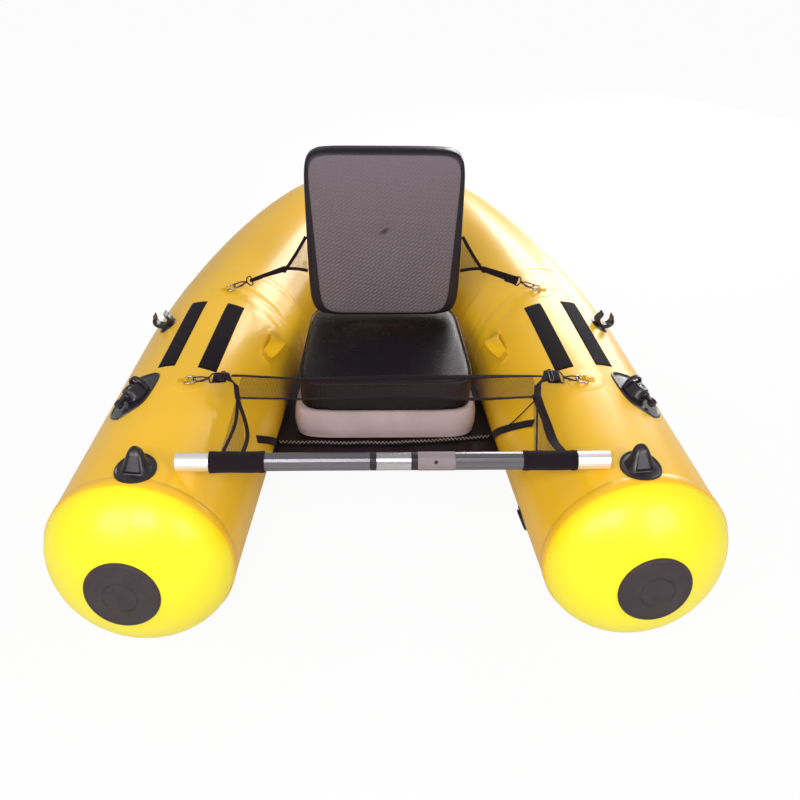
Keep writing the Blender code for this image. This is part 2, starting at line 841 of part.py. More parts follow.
def ringPatch(along, angle, ring):
    pad = padOnHull("patch", along, angle, 0, oval(patchRadius, patchRadius, 24), patchThick)
    base = hullFrame(along, angle)
    normal = base.to_3x3() @ Vector((0, 0, 1))
    barAxis = ring.to_3x3() @ Vector((1, 0, 0))
    across = normal.cross(barAxis).normalized()
    tabFrame = frameOf(base.translation, across.cross(normal), across, normal)
    outline = [(-tabHalfLong, -tabHalfWide), (tabHalfLong, -tabHalfWide)]
    outline += [(tabHalfLong, tabHalfWide), (-tabHalfLong, tabHalfWide)]
    tab = prism("tab", outline, tabFrame, gap + patchThick / 2, tabHeight)
    solid = combined(pad, tab, "UNION")
    borePlace = ring @ Matrix.Rotation(math.pi / 2, 4, "Y")
    reach = tabHalfLong + cutOver
    radius = ringWire + ringBoreClear
    bore = revolve("bore", [(0, -reach), (radius, -reach), (radius, reach), (0, reach)], 12, borePlace)
    return combined(solid, bore, "DIFFERENCE")


def dRing(ring):
    corner = ringHalfWide * 0.25
    points = [(-ringHalfWide + corner, 0), (0, 0), (ringHalfWide - corner, 0), (ringHalfWide, corner)]
    for k in range(1, 10):
        turn = math.pi * k / 10
        rise = corner + (ringDeep - corner) * math.sin(turn) ** 0.7
        points.append((ringHalfWide * math.cos(turn), rise))
    points.append((-ringHalfWide, corner))
    return wire("d_ring", [ring @ Vector((x, y, 0)) for x, y in points], ringWire, True)


def hookMesh(ring, barHalf, upright):
    # The wire starts at its nose, rounds the D-ring and ends beside its own shank
    plane = [(hookNose, -hookBend * 0.1), (hookNose - hookWire, -hookBend * 0.72), (hookLower, -hookBend)]
    plane += [(ringDeep + y, z) for y, z in arc(0, 0, hookBend, -math.pi / 2, -3 * math.pi / 2, 6)]
    plane += [(hookUpper, hookBend), (hookShank - hookWire * 2, hookWire), (hookShank, 0)]
    points = [Vector((0, y, z)) for y, z in plane]
    sideways = [(hookShoulder, barHalf), (hookBar, barHalf), (hookBar, -barHalf)]
    sideways += [(hookShoulder, -barHalf), (hookShoulder - hookWire * 2, -hookClose)]
    for y, off in sideways:
        points.append(Vector((0, y, off)) if upright else Vector((off, y, 0)))
    return wire("hook", [ring @ p for p in points], hookWire, False)


def webLoop(bar, forward, side, across, tail, length, thickness):
    # Webbing that comes in under the bar, rounds it and leaves on the side that it is joined to
    radius = hookWire + webLoopClear + thickness / 2
    path = [bar + forward * tail - side * radius]
    for k in range(9):
        turn = math.pi * k / 8
        path.append(bar - forward * (radius * math.sin(turn)) - side * (radius * math.cos(turn)))
    path.append(bar + forward * length + side * radius)
    return ribbon("web_loop", path, [across] * len(path), thickness), radius


def floorZ():
    return hullPoint(0, floorEdgeAngle, gap).z


boxLow = floorZ() + gap
boxTop = boxLow + boxHeight
cushionLow = boxTop + gap
cushionTop = cushionLow + cushionHeight
hingeZ = cushionTop + gap - cushionCrown * backSinkShare


def backSide(z):
    # Half the backrest's width at a height, where its side is straight
    share = (z - hingeZ) / backHeight
    half = backFootHalf + share * (backHalf - backFootHalf)
    return half * math.cos(math.pi / padSides) ** padPower(backCorner, backHalf, backFootHalf)


def padPower(corner, frontHalf, rearHalf):
    # How square a pad's outline is, from its corner's share of its width
    return 2.2 * corner / (frontHalf + rearHalf)


frontAhead = Vector((-math.cos(ringFrontLift), 0, math.sin(ringFrontLift)))
frontRing = ringFrame(ringFrontAlong, ringFrontAngle, frontAhead)
frontBar = frontRing @ Vector((0, hookBar, 0))
apronZ = frontBar.z + hookWire + webLoopClear + apronStrapThick / 2

rearSpot = hullFrame(ringRearAlong, ringRearAngle, ringBoreHeight).translation
stayHigh = hingeZ + stayHighRise
stayLow = hingeZ + stayLowRise
stayForkZ = rearSpot.z + stayForkRise
stayAnchorY = backY + backThick * stayWeltShare + (stayLow - hingeZ) * math.tan(backLean)
stayAnchor = Vector((backSide(stayLow) + gap, stayAnchorY, stayLow))
stayRun = Vector((stayAnchor.x - rearSpot.x, stayAnchor.y - rearSpot.y, 0))
stayLevel = stayRun.normalized()
forkRun = stayRun.length * stayForkShare
stayAhead = (stayLevel * forkRun + Vector((0, 0, stayForkZ - rearSpot.z))).normalized()
rearRing = ringFrame(ringRearAlong, ringRearAngle, stayAhead)


def makeRings():
    spots = (("front", ringFrontAlong, ringFrontAngle, frontRing), ("rear", ringRearAlong, ringRearAngle, rearRing))
    for name, along, angle, ring in spots:
        addPair("d_ring_patch_" + name, ringPatch(along, angle, ring), pvcYellow)
        addPair("d_ring_" + name, dRing(ring), steel, ring.translation)
    addPair("apron_hook", hookMesh(frontRing, apronBarHalf, False), blackPlastic)
    addPair("stay_hook", hookMesh(rearRing, stayBarHalf, True), steel)


def barHeight():
    # The bar's ends rest on the flats just inboard of the crowns
    along = barY / math.cos(legTurn)
    outer = hullPoint(along, 90)
    inner = hullPoint(along, 90 + sideAngle)
    share = (outer.x - barEnd - barShift) / (outer.x - inner.x)
    if share > 1:
        outer = inner
        inner = hullPoint(along, 90 + 2 * sideAngle)
        share = (outer.x - barEnd - barShift) / (outer.x - inner.x)
    return outer.lerp(inner, share).z + barRadius + gap


barZ = barHeight()
sleeveRadius = barRadius + gap + sleeveWall
level = Matrix.Identity(4)


def makeApron():
    footY = barY + sleeveRadius + gap
    legFoot = sleeveOuter - apronFootInset
    wingFoot = legFoot - apronWingReach
    joinX = frontBar.x - apronTail * 0.5
    bandEnd = frontBar.x - apronTail * 1.5
    band = (frontBar.y - apronBandHalf, frontBar.y + apronBandHalf)
    half = apronStrapHalf
    outline = [(joinX, band[0]), (joinX, band[1]), (bandEnd, band[1]), (apronSide, apronRear + apronRearHalf)]
    outline += [(apronSide - half, apronRear + apronRearHalf), (apronSide - half, apronFront)]
    outline += [(legFoot - half, footY), (legFoot + half, footY)]
    outline += [(apronSide + half, apronFront), (bandEnd, band[0])]
    strapLow = apronZ - apronStrapThick * 0.6
    strapHigh = apronZ + apronStrapThick * 0.6
    strap = prism("side_strap", outline, level, strapLow, strapHigh)
    loop, _ = webLoop(frontBar, Vector((-1, 0, 0)), Vector((0, 0, 1)), Vector((0, apronBandHalf * 0.96, 0)),
                      apronTail, apronTail, apronStrapThick)
    addPair("apron_side_strap", combined(strap, loop, "UNION"), blackWebbing)

    inside = apronSide - half - gap
    for name, y, halfWidth in (("rear", apronRear, apronRearHalf), ("front", apronFront, apronFrontHalf)):
        strip = [(-inside, y - halfWidth), (inside, y - halfWidth), (inside, y + halfWidth), (-inside, y + halfWidth)]
        low = apronZ - apronStrapThick / 2
        webbing = prism(name, strip, level, low, low + apronStrapThick)
        addPart("apron_" + name + "_webbing", webbing, blackWebbing)

    edge = apronSide - apronMeshLap / 2
    right = [(edge, apronRear + apronRearHalf), (edge, apronFront), (legFoot, footY), (wingFoot, footY)]
    right += [(edge - apronMeshLap * 4, apronFront - apronFrontHalf)]
    outline = right + [(-x, y) for x, y in reversed(right)]
    meshTop = strapLow - gap
    addPart("apron_mesh", prism("apron_mesh", outline, level, meshTop - apronMeshThick, meshTop), blackMesh)


def makeStays():
    # The fork lies upright in the plane from the D-ring to the backrest's side
    up = Vector((0, 0, 1))
    plane = frameOf(rearSpot, stayLevel, up, stayLevel.cross(up))
    bar = rearRing @ Vector((0, hookBar, 0))
    radius = hookWire + webLoopClear + stayThick / 2
    ahead = Vector((stayAhead.dot(stayLevel), stayAhead.z))
    square = Vector((-ahead.y, ahead.x))
    start = ahead * (hookBar + stayTail * 0.5)
    fork = Vector((forkRun, stayForkZ - rearSpot.z))
    highRun = (rearSpot.x - backSide(stayHigh) - gap) / -stayLevel.x
    high = Vector((highRun, stayHigh - rearSpot.z))
    low = Vector((stayRun.length, stayLow - rearSpot.z))

    def legEdges(tip):
        lean = (tip - fork).normalized()
        off = Vector((-lean.y, lean.x)) * stayLegHalf
        rise = stayLegHalf / max(abs(lean.x), 0.3)
        return off, rise

    highOff, highRise = legEdges(high)
    lowOff, lowRise = legEdges(low)
    crotch = fork + ahead * (stayLegHalf * 2.4)
    back = ahead * stayLegHalf
    collar = fork - ahead * stayJoin
    wide = square * stayBandHalf
    outline = [start + wide, collar + wide, fork + highOff - back, high + Vector((0, highRise))]
    outline += [high - Vector((0, highRise)), crotch, low + Vector((0, lowRise))]
    outline += [low - Vector((0, lowRise)), fork - lowOff - back, collar - wide, start - wide]
    flat = [(p.x, p.y) for p in outline]
    side = radius
    strap = prism("stay", flat, plane, side - stayThick * 0.6, side + stayThick * 0.6)
    across = (rearRing.to_3x3() @ Vector((0, 0, 1))) * (stayBandHalf * 0.96)
    normal = plane.to_3x3() @ Vector((0, 0, 1))
    loop, _ = webLoop(bar, stayAhead, normal, across, stayTail, stayTail, stayThick)
    addPair("backrest_stay", combined(strap, loop, "UNION"), blackWebbing)

    net = [(p.x, p.y) for p in (fork + back, high, low)]
    top = side - stayThick * 0.6 - gap
    addPair("stay_mesh", prism("stay_mesh", net, plane, top - stayMeshThick, top), blackMesh)


# Spreader bar

def barPiece(name, profile):
    middle = Vector((barShift, barY, barZ))
    frame = frameOf(middle, Vector((0, 0, 1)), Vector((0, -1, 0)), Vector((1, 0, 0)))
    return revolve(name, [(r, x) for x, r in profile], barSides, frame)


def pipe(low, high, radius, wall):
    return [(low, radius), (high, radius), (high, radius - wall), (low, radius - wall)]


def makeBar():
    addPart("bar_left_tube", barPiece("bar", pipe(-barEnd, leftTubeEnd - gap, barRadius, barWall)),
            barSilver)
    collarLow = midSleeveEnd + shoulderWidth + gap
    collarHigh = collarLow + collarLength
    addPart("bar_right_tube", barPiece("bar", pipe(collarHigh + gap, barEnd, barRadius, barWall)),
            barSilver)

    spigotLow = leftTubeEnd - couplerSpigot
    spigotHigh = collarHigh - collarSpigot / 4
    midLow = leftTubeEnd + shoulderWidth
    couplerProfile = [(spigotLow, 0), (spigotLow, couplerRadius), (leftTubeEnd, couplerRadius),
                      (leftTubeEnd, barRadius), (midLow, barRadius), (midLow, couplerCore),
                      (midSleeveEnd, couplerCore), (midSleeveEnd, barRadius),
                      (midSleeveEnd + shoulderWidth, barRadius), (midSleeveEnd + shoulderWidth, couplerRadius),
                      (spigotHigh, couplerRadius), (spigotHigh, 0)]
    coupler = barPiece("coupler", couplerProfile)
    press = Vector((0, -math.cos(buttonPitch), math.sin(buttonPitch)))
    side = Vector((1, 0, 0))
    buttonPlace = Vector((buttonX + barShift, barY, barZ))
    pushFrame = frameOf(buttonPlace, side, press.cross(side), press)
    holeProfile = [(0, buttonDeep), (buttonHole, buttonDeep), (buttonHole, barRadius + cutOver),
                   (0, barRadius + cutOver)]
    coupler = combined(coupler, revolve("hole", holeProfile, 16, pushFrame), "DIFFERENCE")
    addPart("bar_coupler", coupler, blackPlastic)

    middle = pipe(midLow + gap, midSleeveEnd - gap, barRadius, barRadius - couplerCore - gap)
    addPart("bar_middle_sleeve", barPiece("middle", middle), barSilver)

    bore = couplerRadius + gap
    insideTube = barRadius - barWall - gap
    spigotBore = insideTube - barWall
    collar = barPiece("collar", [(collarLow, collarRadius), (collarHigh, collarRadius), (collarHigh, insideTube),
                                 (collarHigh + collarSpigot, insideTube), (collarHigh + collarSpigot, spigotBore),
                                 (collarHigh, spigotBore), (collarHigh - collarSpigot / 4 + gap, spigotBore),
                                 (collarHigh - collarSpigot / 4 + gap, bore), (collarLow, bore)])
    outside = [(0, couplerCore), (buttonHole, couplerCore), (buttonHole, barRadius + cutOver),
               (0, barRadius + cutOver)]
    collar = combined(collar, revolve("hole", outside, 16, pushFrame), "DIFFERENCE")
    addPart("bar_collar", collar, greyPlastic)

    top = collarRadius + buttonStand
    buttonProfile = [(0, buttonFoot), (buttonRadius, buttonFoot), (buttonRadius, top - buttonStand / 2),
                     (buttonRadius / 2, top), (0, top)]
    addPart("bar_button", revolve("button", buttonProfile, 12, pushFrame), blackPlastic, buttonPlace)

    for name, low, high in (("right", sleeveInner, sleeveOuter), ("left", -sleeveOuter, -sleeveInner)):
        sleeve = barPiece("sleeve", pipe(low, high, sleeveRadius, sleeveWall))
        addPart("bar_sleeve_" + name, sleeve, blackWebbing)


# Floor and seat

def floorStations():
    low = floorFront / math.cos(legTurn)
    rows = [low] + stationsBetween(low, halfHull)
    kept = []
    for s in rows:
        if hullPoint(s, floorEdgeAngle).y < floorRear - stationMargin:
            kept.append(s)
    last = kept[-1]
    after = alongStations[alongStations.index(last) + 1]
    lowY = hullPoint(last, floorEdgeAngle).y
    highY = hullPoint(after, floorEdgeAngle).y
    kept.append(last + (after - last) * (floorRear - lowY) / (highY - lowY))
    return kept


def makeFloor():
    grid = []
    for s in floorStations():
        flange = hullPoint(s, floorFlangeAngle, gap)
        edge = hullPoint(s, floorEdgeAngle, gap)
        grid.append([flange, edge, mirrorX @ edge, mirrorX @ flange])
    # Its top lies against the tubes' undersides, so it thickens downwards
    sheet = thickened(loft("floor_sheet", grid, closed=False), floorThick, skinInwards)
    addPart("floor_sheet", sheet, blackVinyl)


def makeFloorTape():
    # The tape crosses the floor and climbs each tube, facet by facet, drifting forwards
    lift = gap + tapeThick / 2
    along = tapeY / math.cos(legTurn)
    edge = hullPoint(along, floorEdgeAngle, lift)
    path = [Vector((edge.x - tapeSlack, tapeY, floorZ() + lift))]
    angle = math.floor(floorEdgeAngle / sideAngle) * sideAngle
    while angle > tapeTopAngle:
        path.append(hullPoint(along, angle, lift))
        angle -= sideAngle
        along -= tapeDrift
    path.append(hullPoint(along, tapeTopAngle, lift))
    facet = 2 * tubeRadius * math.sin(math.radians(sideAngle / 2))
    slant = math.hypot(facet, tapeDrift) / facet
    rearward = hullFrame(along, tapeTopAngle).to_3x3() @ Vector((tapeHalf, 0, 0))
    across = [rearward] * 2 + [rearward * slant] * (len(path) - 2)
    left = [mirrorX @ p for p in reversed(path)]
    leftAcross = [Vector((-half.x, half.y, half.z)) for half in reversed(across)]
    tape = ribbon("floor_tape", left + path, leftAcross + across, tapeThick)
    addPart("floor_tape", tape, blackWebbing)


def padOutline(front, rear, frontHalf, rearHalf, corner, inset):
    # A rounded outline that narrows towards the rear, drawn in by the inset
    points = []
    middle = (front + rear) / 2
    reach = (rear - front) / 2
    power = padPower(corner, frontHalf, rearHalf)
    for k in range(padSides):
        turn = 2 * math.pi * (k + 0.5) / padSides
        c = math.cos(turn)
        s = math.sin(turn)
        x = math.copysign(abs(c) ** power, c)
        y = math.copysign(abs(s) ** power, s)
        half = (frontHalf + rearHalf) / 2 + y * (rearHalf - frontHalf) / 2
        points.append((x * (half - inset), middle + y * (reach - inset)))
    return points


def padSolid(name, size, levels):
    # Levels are (inset, height) from the middle of the underside to the middle of the top
    front, rear, frontHalf, rearHalf, corner = size
    middle = (front + rear) / 2
    rings = [[Vector((0, middle, levels[0][1]))]]
    for inset, height in levels:
        outline = padOutline(front, rear, frontHalf, rearHalf, corner, inset)
        rings.append([Vector((x, y, height)) for x, y in outline])
    rings.append([Vector((0, middle, levels[-1][1]))])
    return solidLoft(name, rings)


def makeSeatBox():
    h = boxHeight
    r = boxCorner / 3
    levels = [(boxFrontHalf * 0.45, boxLow), (r, boxLow), (r / 3, boxLow + h * 0.07), (r / 5, boxLow + h * 0.18),
              (0, boxLow + h * 0.40), (0, boxLow + h * 0.62), (r / 5, boxLow + h * 0.84),
              (r / 3, boxLow + h * 0.94), (r, boxTop), (boxFrontHalf * 0.45, boxTop)]
    size = (boxFront, boxRear, boxFrontHalf, boxRearHalf, boxCorner)
    addPart("seat_box", padSolid("seat_box", size, levels), seatGrey)


def makeSeatCushion():
    h = cushionHeight
    r = cushionCorner / 3
    top = cushionTop - cushionCrown
    levels = [(cushionFrontHalf * 0.45, cushionLow), (r, cushionLow), (0, cushionLow + h * 0.10),
              (r / 4, cushionLow + h * 0.22), (r / 5, cushionLow + h * 0.50), (r / 6, cushionLow + h * 0.70),
              (0, top - h * 0.08), (r * 0.7, top), (r * 2.2, top + cushionCrown * 0.5),
              (r * 5, top + cushionCrown * 0.9), (cushionFrontHalf * 0.60, cushionTop)]
    size = (cushionFront, cushionRear, cushionFrontHalf, cushionRearHalf, cushionCorner)
    addPart("seat_cushion", padSolid("seat_cushion", size, levels), blackVinyl)


def makeBackrest():
    # Built flat as a pad with its face up, then stood on its foot and leaned back by a shear
    h = backThick
    r = backCorner / 3
    face = h - backCrown
    levels = [(backHalf * 0.45, 0), (r * 1.4, 0), (r / 4, h * 0.12), (0, h * 0.3), (r / 5, h * 0.45),
              (0, h * 0.62), (r / 4, face - h * 0.06), (r * 1.2, face), (r * 2.4, face + backCrown * 0.5),
              (r * 6, face + backCrown), (backHalf * 0.62, h), (backHalf * 0.86, h - backTuftDeep * 0.5)]
    size = (0, backHeight, backFootHalf, backHalf, backCorner)
    mesh = padSolid("backrest", size, levels)
    mesh.transform(Matrix.Rotation(math.pi / 2, 4, "X"))
    shear = Matrix.Identity(4)
    shear[1][2] = math.tan(backLean)
    # The face passes through the hinge, and the thickness lies behind it
    mesh.transform(Matrix.Translation((0, backY + backThick, hingeZ)) @ shear)
    addPart("backrest", mesh, greyVinyl, Vector((0, backY, hingeZ)))


def settle():
    # The boat stands on the floor with the middle of its length over the origin
    lows = Vector((math.inf, math.inf, math.inf))
    highs = -lows
    for item in parts:
        for v in item.data.vertices:
            p = v.co + item.location
            lows = Vector(map(min, lows, p))
            highs = Vector(map(max, highs, p))
    shift = Vector((0, -(lows.y + highs.y) / 2, -lows.z))
    for item in parts:
        item.location = item.location + shift


makeEndCaps()
makeEndDiscs()
makeLegTubes()
makeSternTube()
makeBaffle()
makeRopeHolders()
makeOarlocks()
makeOarClips()
makeStrips()
makeGrabLoops()
makeValve("right", valveRightAlong, valveRightAngle)
makeValve("left", valveLeftAlong, valveLeftAngle)
makeRings()
makeApron()
makeStays()
makeBar()
makeFloor()
makeFloorTape()
makeSeatBox()
makeSeatCushion()
makeBackrest()
settle()
print("nodes", len(parts), "triangles", sum(len(p.vertices) - 2 for item in parts for p in item.data.polygons))
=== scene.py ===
from math import acos, copysign, cos, degrees, exp, hypot, pi, radians, sin, sqrt, tan

import bmesh
import bpy
import numpy as np
from mathutils import Matrix, Vector
from mathutils.bvhtree import BVHTree


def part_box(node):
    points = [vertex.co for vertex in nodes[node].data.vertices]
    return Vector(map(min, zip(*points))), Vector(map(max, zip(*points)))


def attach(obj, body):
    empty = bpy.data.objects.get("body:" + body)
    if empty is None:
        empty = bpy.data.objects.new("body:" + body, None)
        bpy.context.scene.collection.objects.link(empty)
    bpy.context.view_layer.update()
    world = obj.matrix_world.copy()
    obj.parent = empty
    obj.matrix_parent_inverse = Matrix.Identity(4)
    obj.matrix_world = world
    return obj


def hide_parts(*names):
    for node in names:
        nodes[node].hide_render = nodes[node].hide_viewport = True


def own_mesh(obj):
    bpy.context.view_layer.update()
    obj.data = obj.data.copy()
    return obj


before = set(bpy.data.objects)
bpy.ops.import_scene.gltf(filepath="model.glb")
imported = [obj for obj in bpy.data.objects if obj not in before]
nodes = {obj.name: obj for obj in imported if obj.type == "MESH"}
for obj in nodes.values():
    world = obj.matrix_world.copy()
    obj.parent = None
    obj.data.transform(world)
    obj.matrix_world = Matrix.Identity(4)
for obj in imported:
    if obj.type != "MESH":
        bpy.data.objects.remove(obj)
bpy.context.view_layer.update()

# The belly boat's skin, soft goods and finishes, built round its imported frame.
# Metres, Z up, the open end of the U towards -Y. The right half is drawn, and the left is its mirror image.
scene = bpy.context.scene
mirrorX = Matrix.Diagonal((-1, 1, 1, 1))
right, up = Vector((1, 0, 0)), Vector((0, 0, 1))
subdivide = ("SUBSURF", {"levels": 1, "render_levels": 1})


# Number and mesh helpers

def between(a, b, share):
    return a + (b - a) * share


def spread(low, high, steps):
    return [low + (high - low) * k / steps for k in range(steps + 1)]


def turnsOf(count, offset=0.0):
    return [2 * pi * (k + offset) / count for k in range(count)]


def bell(value):
    return exp(-value * value)


def runs(points):
    total = [0.0]
    for a, b in zip(points, points[1:]):
        total.append(total[-1] + (b - a).length)
    return total


def gridMesh(rows, around=False):
    # Quads between rows of equal count, with a UV map in metres. A row of one repeated point is a pole.
    count = len(rows[0])
    middle = max(rows, key=lambda row: (row[0] - row[count // 2]).length)
    acrossRun = runs(middle + [middle[0]] if around else middle)
    alongRun = runs([row[0] for row in rows])
    faces, spots = [], []
    for i in range(len(rows) - 1):
        for j in range(count if around else count - 1):
            k = (j + 1) % count
            faces.append((i * count + j, i * count + k, (i + 1) * count + k, (i + 1) * count + j))
            for a, b in ((i, j), (i, j + 1), (i + 1, j + 1), (i + 1, j)):
                spots += [alongRun[a], acrossRun[b]]
    mesh = bpy.data.meshes.new("grid")
    mesh.from_pydata([tuple(p) for row in rows for p in row], [], faces)
    mesh.uv_layers.new(name="metres").data.foreach_set("uv", spots)
    return mesh


def tidied(mesh):
    # Doubles at poles merged, and faces turned outwards
    work = bmesh.new()
    work.from_mesh(mesh)
    bmesh.ops.remove_doubles(work, verts=work.verts, dist=1e-6)
    bmesh.ops.dissolve_degenerate(work, edges=work.edges, dist=1e-6)
    bmesh.ops.recalc_face_normals(work, faces=work.faces)
    if work.calc_volume(signed=True) < 0:
        bmesh.ops.reverse_faces(work, faces=work.faces)
    work.to_mesh(mesh)
    work.free()
    return mesh


def shell(rows):
    return tidied(gridMesh(rows, around=True))


def closedShell(rings, first, last):
    return shell([[first] * len(rings[0]), *rings, [last] * len(rings[0])])


def linked(data, name="work"):
    item = bpy.data.objects.new(name, data)
    scene.collection.objects.link(item)
    return item


def applied(item):
    return bpy.data.meshes.new_from_object(item.evaluated_get(bpy.context.evaluated_depsgraph_get()))


def changed(mesh, *steps):
    # The mesh once the modifiers, given as (kind, settings), are applied
    item = linked(mesh)
    for kind, settings in steps:
        step = item.modifiers.new(kind.lower(), kind)
        for key, value in settings.items():
            setattr(step, key, value)
    made = applied(item)
    bpy.data.objects.remove(item, do_unlink=True)
    return made


def thickened(mesh, thickness, offset=-1.0):
    settings = {"thickness": thickness, "offset": offset, "use_even_offset": False}
    return tidied(changed(mesh, ("SOLIDIFY", settings)))


def cutBy(target, tool):
    cutter = linked(tool)
    made = changed(target, ("BOOLEAN", {"operation": "DIFFERENCE", "solver": "EXACT", "object": cutter}))
    bpy.data.objects.remove(cutter, do_unlink=True)
    return made


def joined(*meshes):
    work = bmesh.new()
    for mesh in meshes:
        work.from_mesh(mesh)
    made = bpy.data.meshes.new("joined")
    work.to_mesh(made)
    work.free()
    return made


def mirrored(mesh):
    twin = mesh.copy()
    twin.transform(mirrorX)
    twin.flip_normals()
    return twin


def sided(mesh, side):
    return mirrored(mesh) if side == "left" else mesh


def addPiece(name, mesh, finish, stands="", body="hull", sharp=40, slot=None):
    # Made of a finish, on a body, and in place of the CAD node that it stands for
    mesh.materials.clear()
    mesh.materials.append(finish)
    mesh.polygons.foreach_set("use_smooth", [True] * len(mesh.polygons))
    mesh.set_sharp_from_angle(angle=radians(sharp))
    item = linked(mesh, name)
    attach(item, body)
    if stands:
        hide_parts(stands)
    return item


def addBoth(name, mesh, finish, stands="", body="", **settings):
    # The right piece and its mirror image, each with its side's own node and body
    made = []
    for side, half in (("_right", mesh), ("_left", mirrored(mesh))):
        made.append(addPiece(name + side, half, finish, stands and stands + side,
                             body + side if body else "hull", **settings))
    return made


def frameOf(origin, x, y, z):
    made = Matrix.Identity(4)
    for column, axis in enumerate((x, y, z, origin)):
        for row in range(3):
            made[row][column] = axis[row]
    return made


def moved(place, x, y, z, turn=0.0, axis="Z"):
    return place @ Matrix.Translation((x, y, z)) @ Matrix.Rotation(turn, 4, axis)


def softRing(power, count):
    # A unit circle drawn out towards a square
    return [(copysign(abs(cos(t)) ** power, cos(t)), copysign(abs(sin(t)) ** power, sin(t)))
            for t in turnsOf(count, 0.5)]


def towerRing(place, halfX, halfY, shift, height, power, count):
    return [place @ Vector((shift + halfX * x, halfY * y, height)) for x, y in softRing(power, count)]


def tower(place, levels, power, count):
    # Levels are (half length, half width, shift along x, height), closed at both ends
    rings = [towerRing(place, *level, power, count) for level in levels]
    return closedShell(rings, *(place @ Vector((levels[k][2], 0, levels[k][3])) for k in (0, -1)))


def turned(profile, place, sides=48, lobes=0, deep=0.0, mean=0.0):
    # Profile points are (radius, height on the place's z axis, share of the lobes)
    rows = []
    for radius, height, *share in profile:
        row = []
        for t in turnsOf(sides):
            reach = radius * (1 + share[0] * deep * (cos(t * lobes) - mean)) if share else radius
            row.append(place @ Vector((reach * cos(t), reach * sin(t), height)))
        rows.append(row)
    return shell(rows)


def roundCorner(x, y, radius, start, end, steps):
    return [(x + radius * cos(radians(t)), y + radius * sin(radians(t))) for t in spread(start, end, steps)]


def eased(a, b, c, step, inner):
    # Three points in place of the corner b
    one, two = (a - b).normalized(), (c - b).normalized()
    return [b + one * step, b + (one + two) * inner, b + two * step]


def curved(points, steps=6, closed=False):
    # A smooth path through the points
    count = len(points)
    made = []
    for k in range(count if closed else count - 1):
        spots = [(k + n) % count if closed else min(max(k + n, 0), count - 1) for n in (-1, 0, 1, 2)]
        a, b, c, d = (points[spot] for spot in spots)
        for n in range(steps):
            t = n / steps
            made.append(0.5 * (2 * b + (c - a) * t + (2 * a - 5 * b + 4 * c - d) * t * t
                               + (3 * b - a - 3 * c + d) * t ** 3))
    return made if closed else made + [points[-1]]


def wire(points, radius, closed=False, sides=10):
    curve = bpy.data.curves.new("wire", "CURVE")
    curve.dimensions = "3D"
    curve.bevel_depth = radius
    curve.bevel_resolution = sides // 4
    curve.use_fill_caps = True
    spline = curve.splines.new("POLY")
    spline.points.add(len(points) - 1)
    for point, place in zip(spline.points, points):
        point.co = (*place, 1)
    spline.use_cyclic_u = closed
    item = linked(curve)
    mesh = applied(item)
    bpy.data.objects.remove(item, do_unlink=True)
    return tidied(mesh)


def strap(path, across, thickness):
    # Webbing with soft edges along the path. Across holds the half width vector at each point, or one for
    # all, and thickness is one value, or one for each point.
    across = across if isinstance(across, list) else [across] * len(path)
    rows = []
    for k, centre in enumerate(path):
        ahead = (path[min(k + 1, len(path) - 1)] - path[max(k - 1, 0)]).normalized()
        half = across[k]
        thick = thickness[k] if isinstance(thickness, list) else thickness
        normal = ahead.cross(half).normalized() * (thick / 2)
        edge = half * (1 - min(0.35, thick / 2 / half.length))
        low = [-half - normal * 0.3, -edge - normal, -half * 0.33 - normal, half * 0.33 - normal,
               edge - normal, half - normal * 0.3]
        rows.append([centre + off for off in low] + [centre - off for off in low])
    return closedShell(rows, path[0], path[-1])


# Material helpers

def plain(red, green, blue):
    # A colour as the eye reads it, from 0 to 255, turned into Blender's linear one
    shares = [value / 255 for value in (red, green, blue)]
    return (*(s / 12.92 if s <= 0.04045 else ((s + 0.055) / 1.055) ** 2.4 for s in shares), 1)


def varied(colour, share):
    return tuple(min(1.0, c * share) for c in colour[:3]) + (1,)


def addNode(tree, kind, sockets=(), **settings):
    # A shader node, with its sockets set to values or linked to other sockets
    made = tree.nodes.new("ShaderNode" + kind)
    for key, value in settings.items():
        setattr(made, key, value)
    for key, value in dict(sockets).items():
        if isinstance(value, bpy.types.NodeSocket):
            tree.links.new(value, made.inputs[key])
        else:
            made.inputs[key].default_value = value
    return made


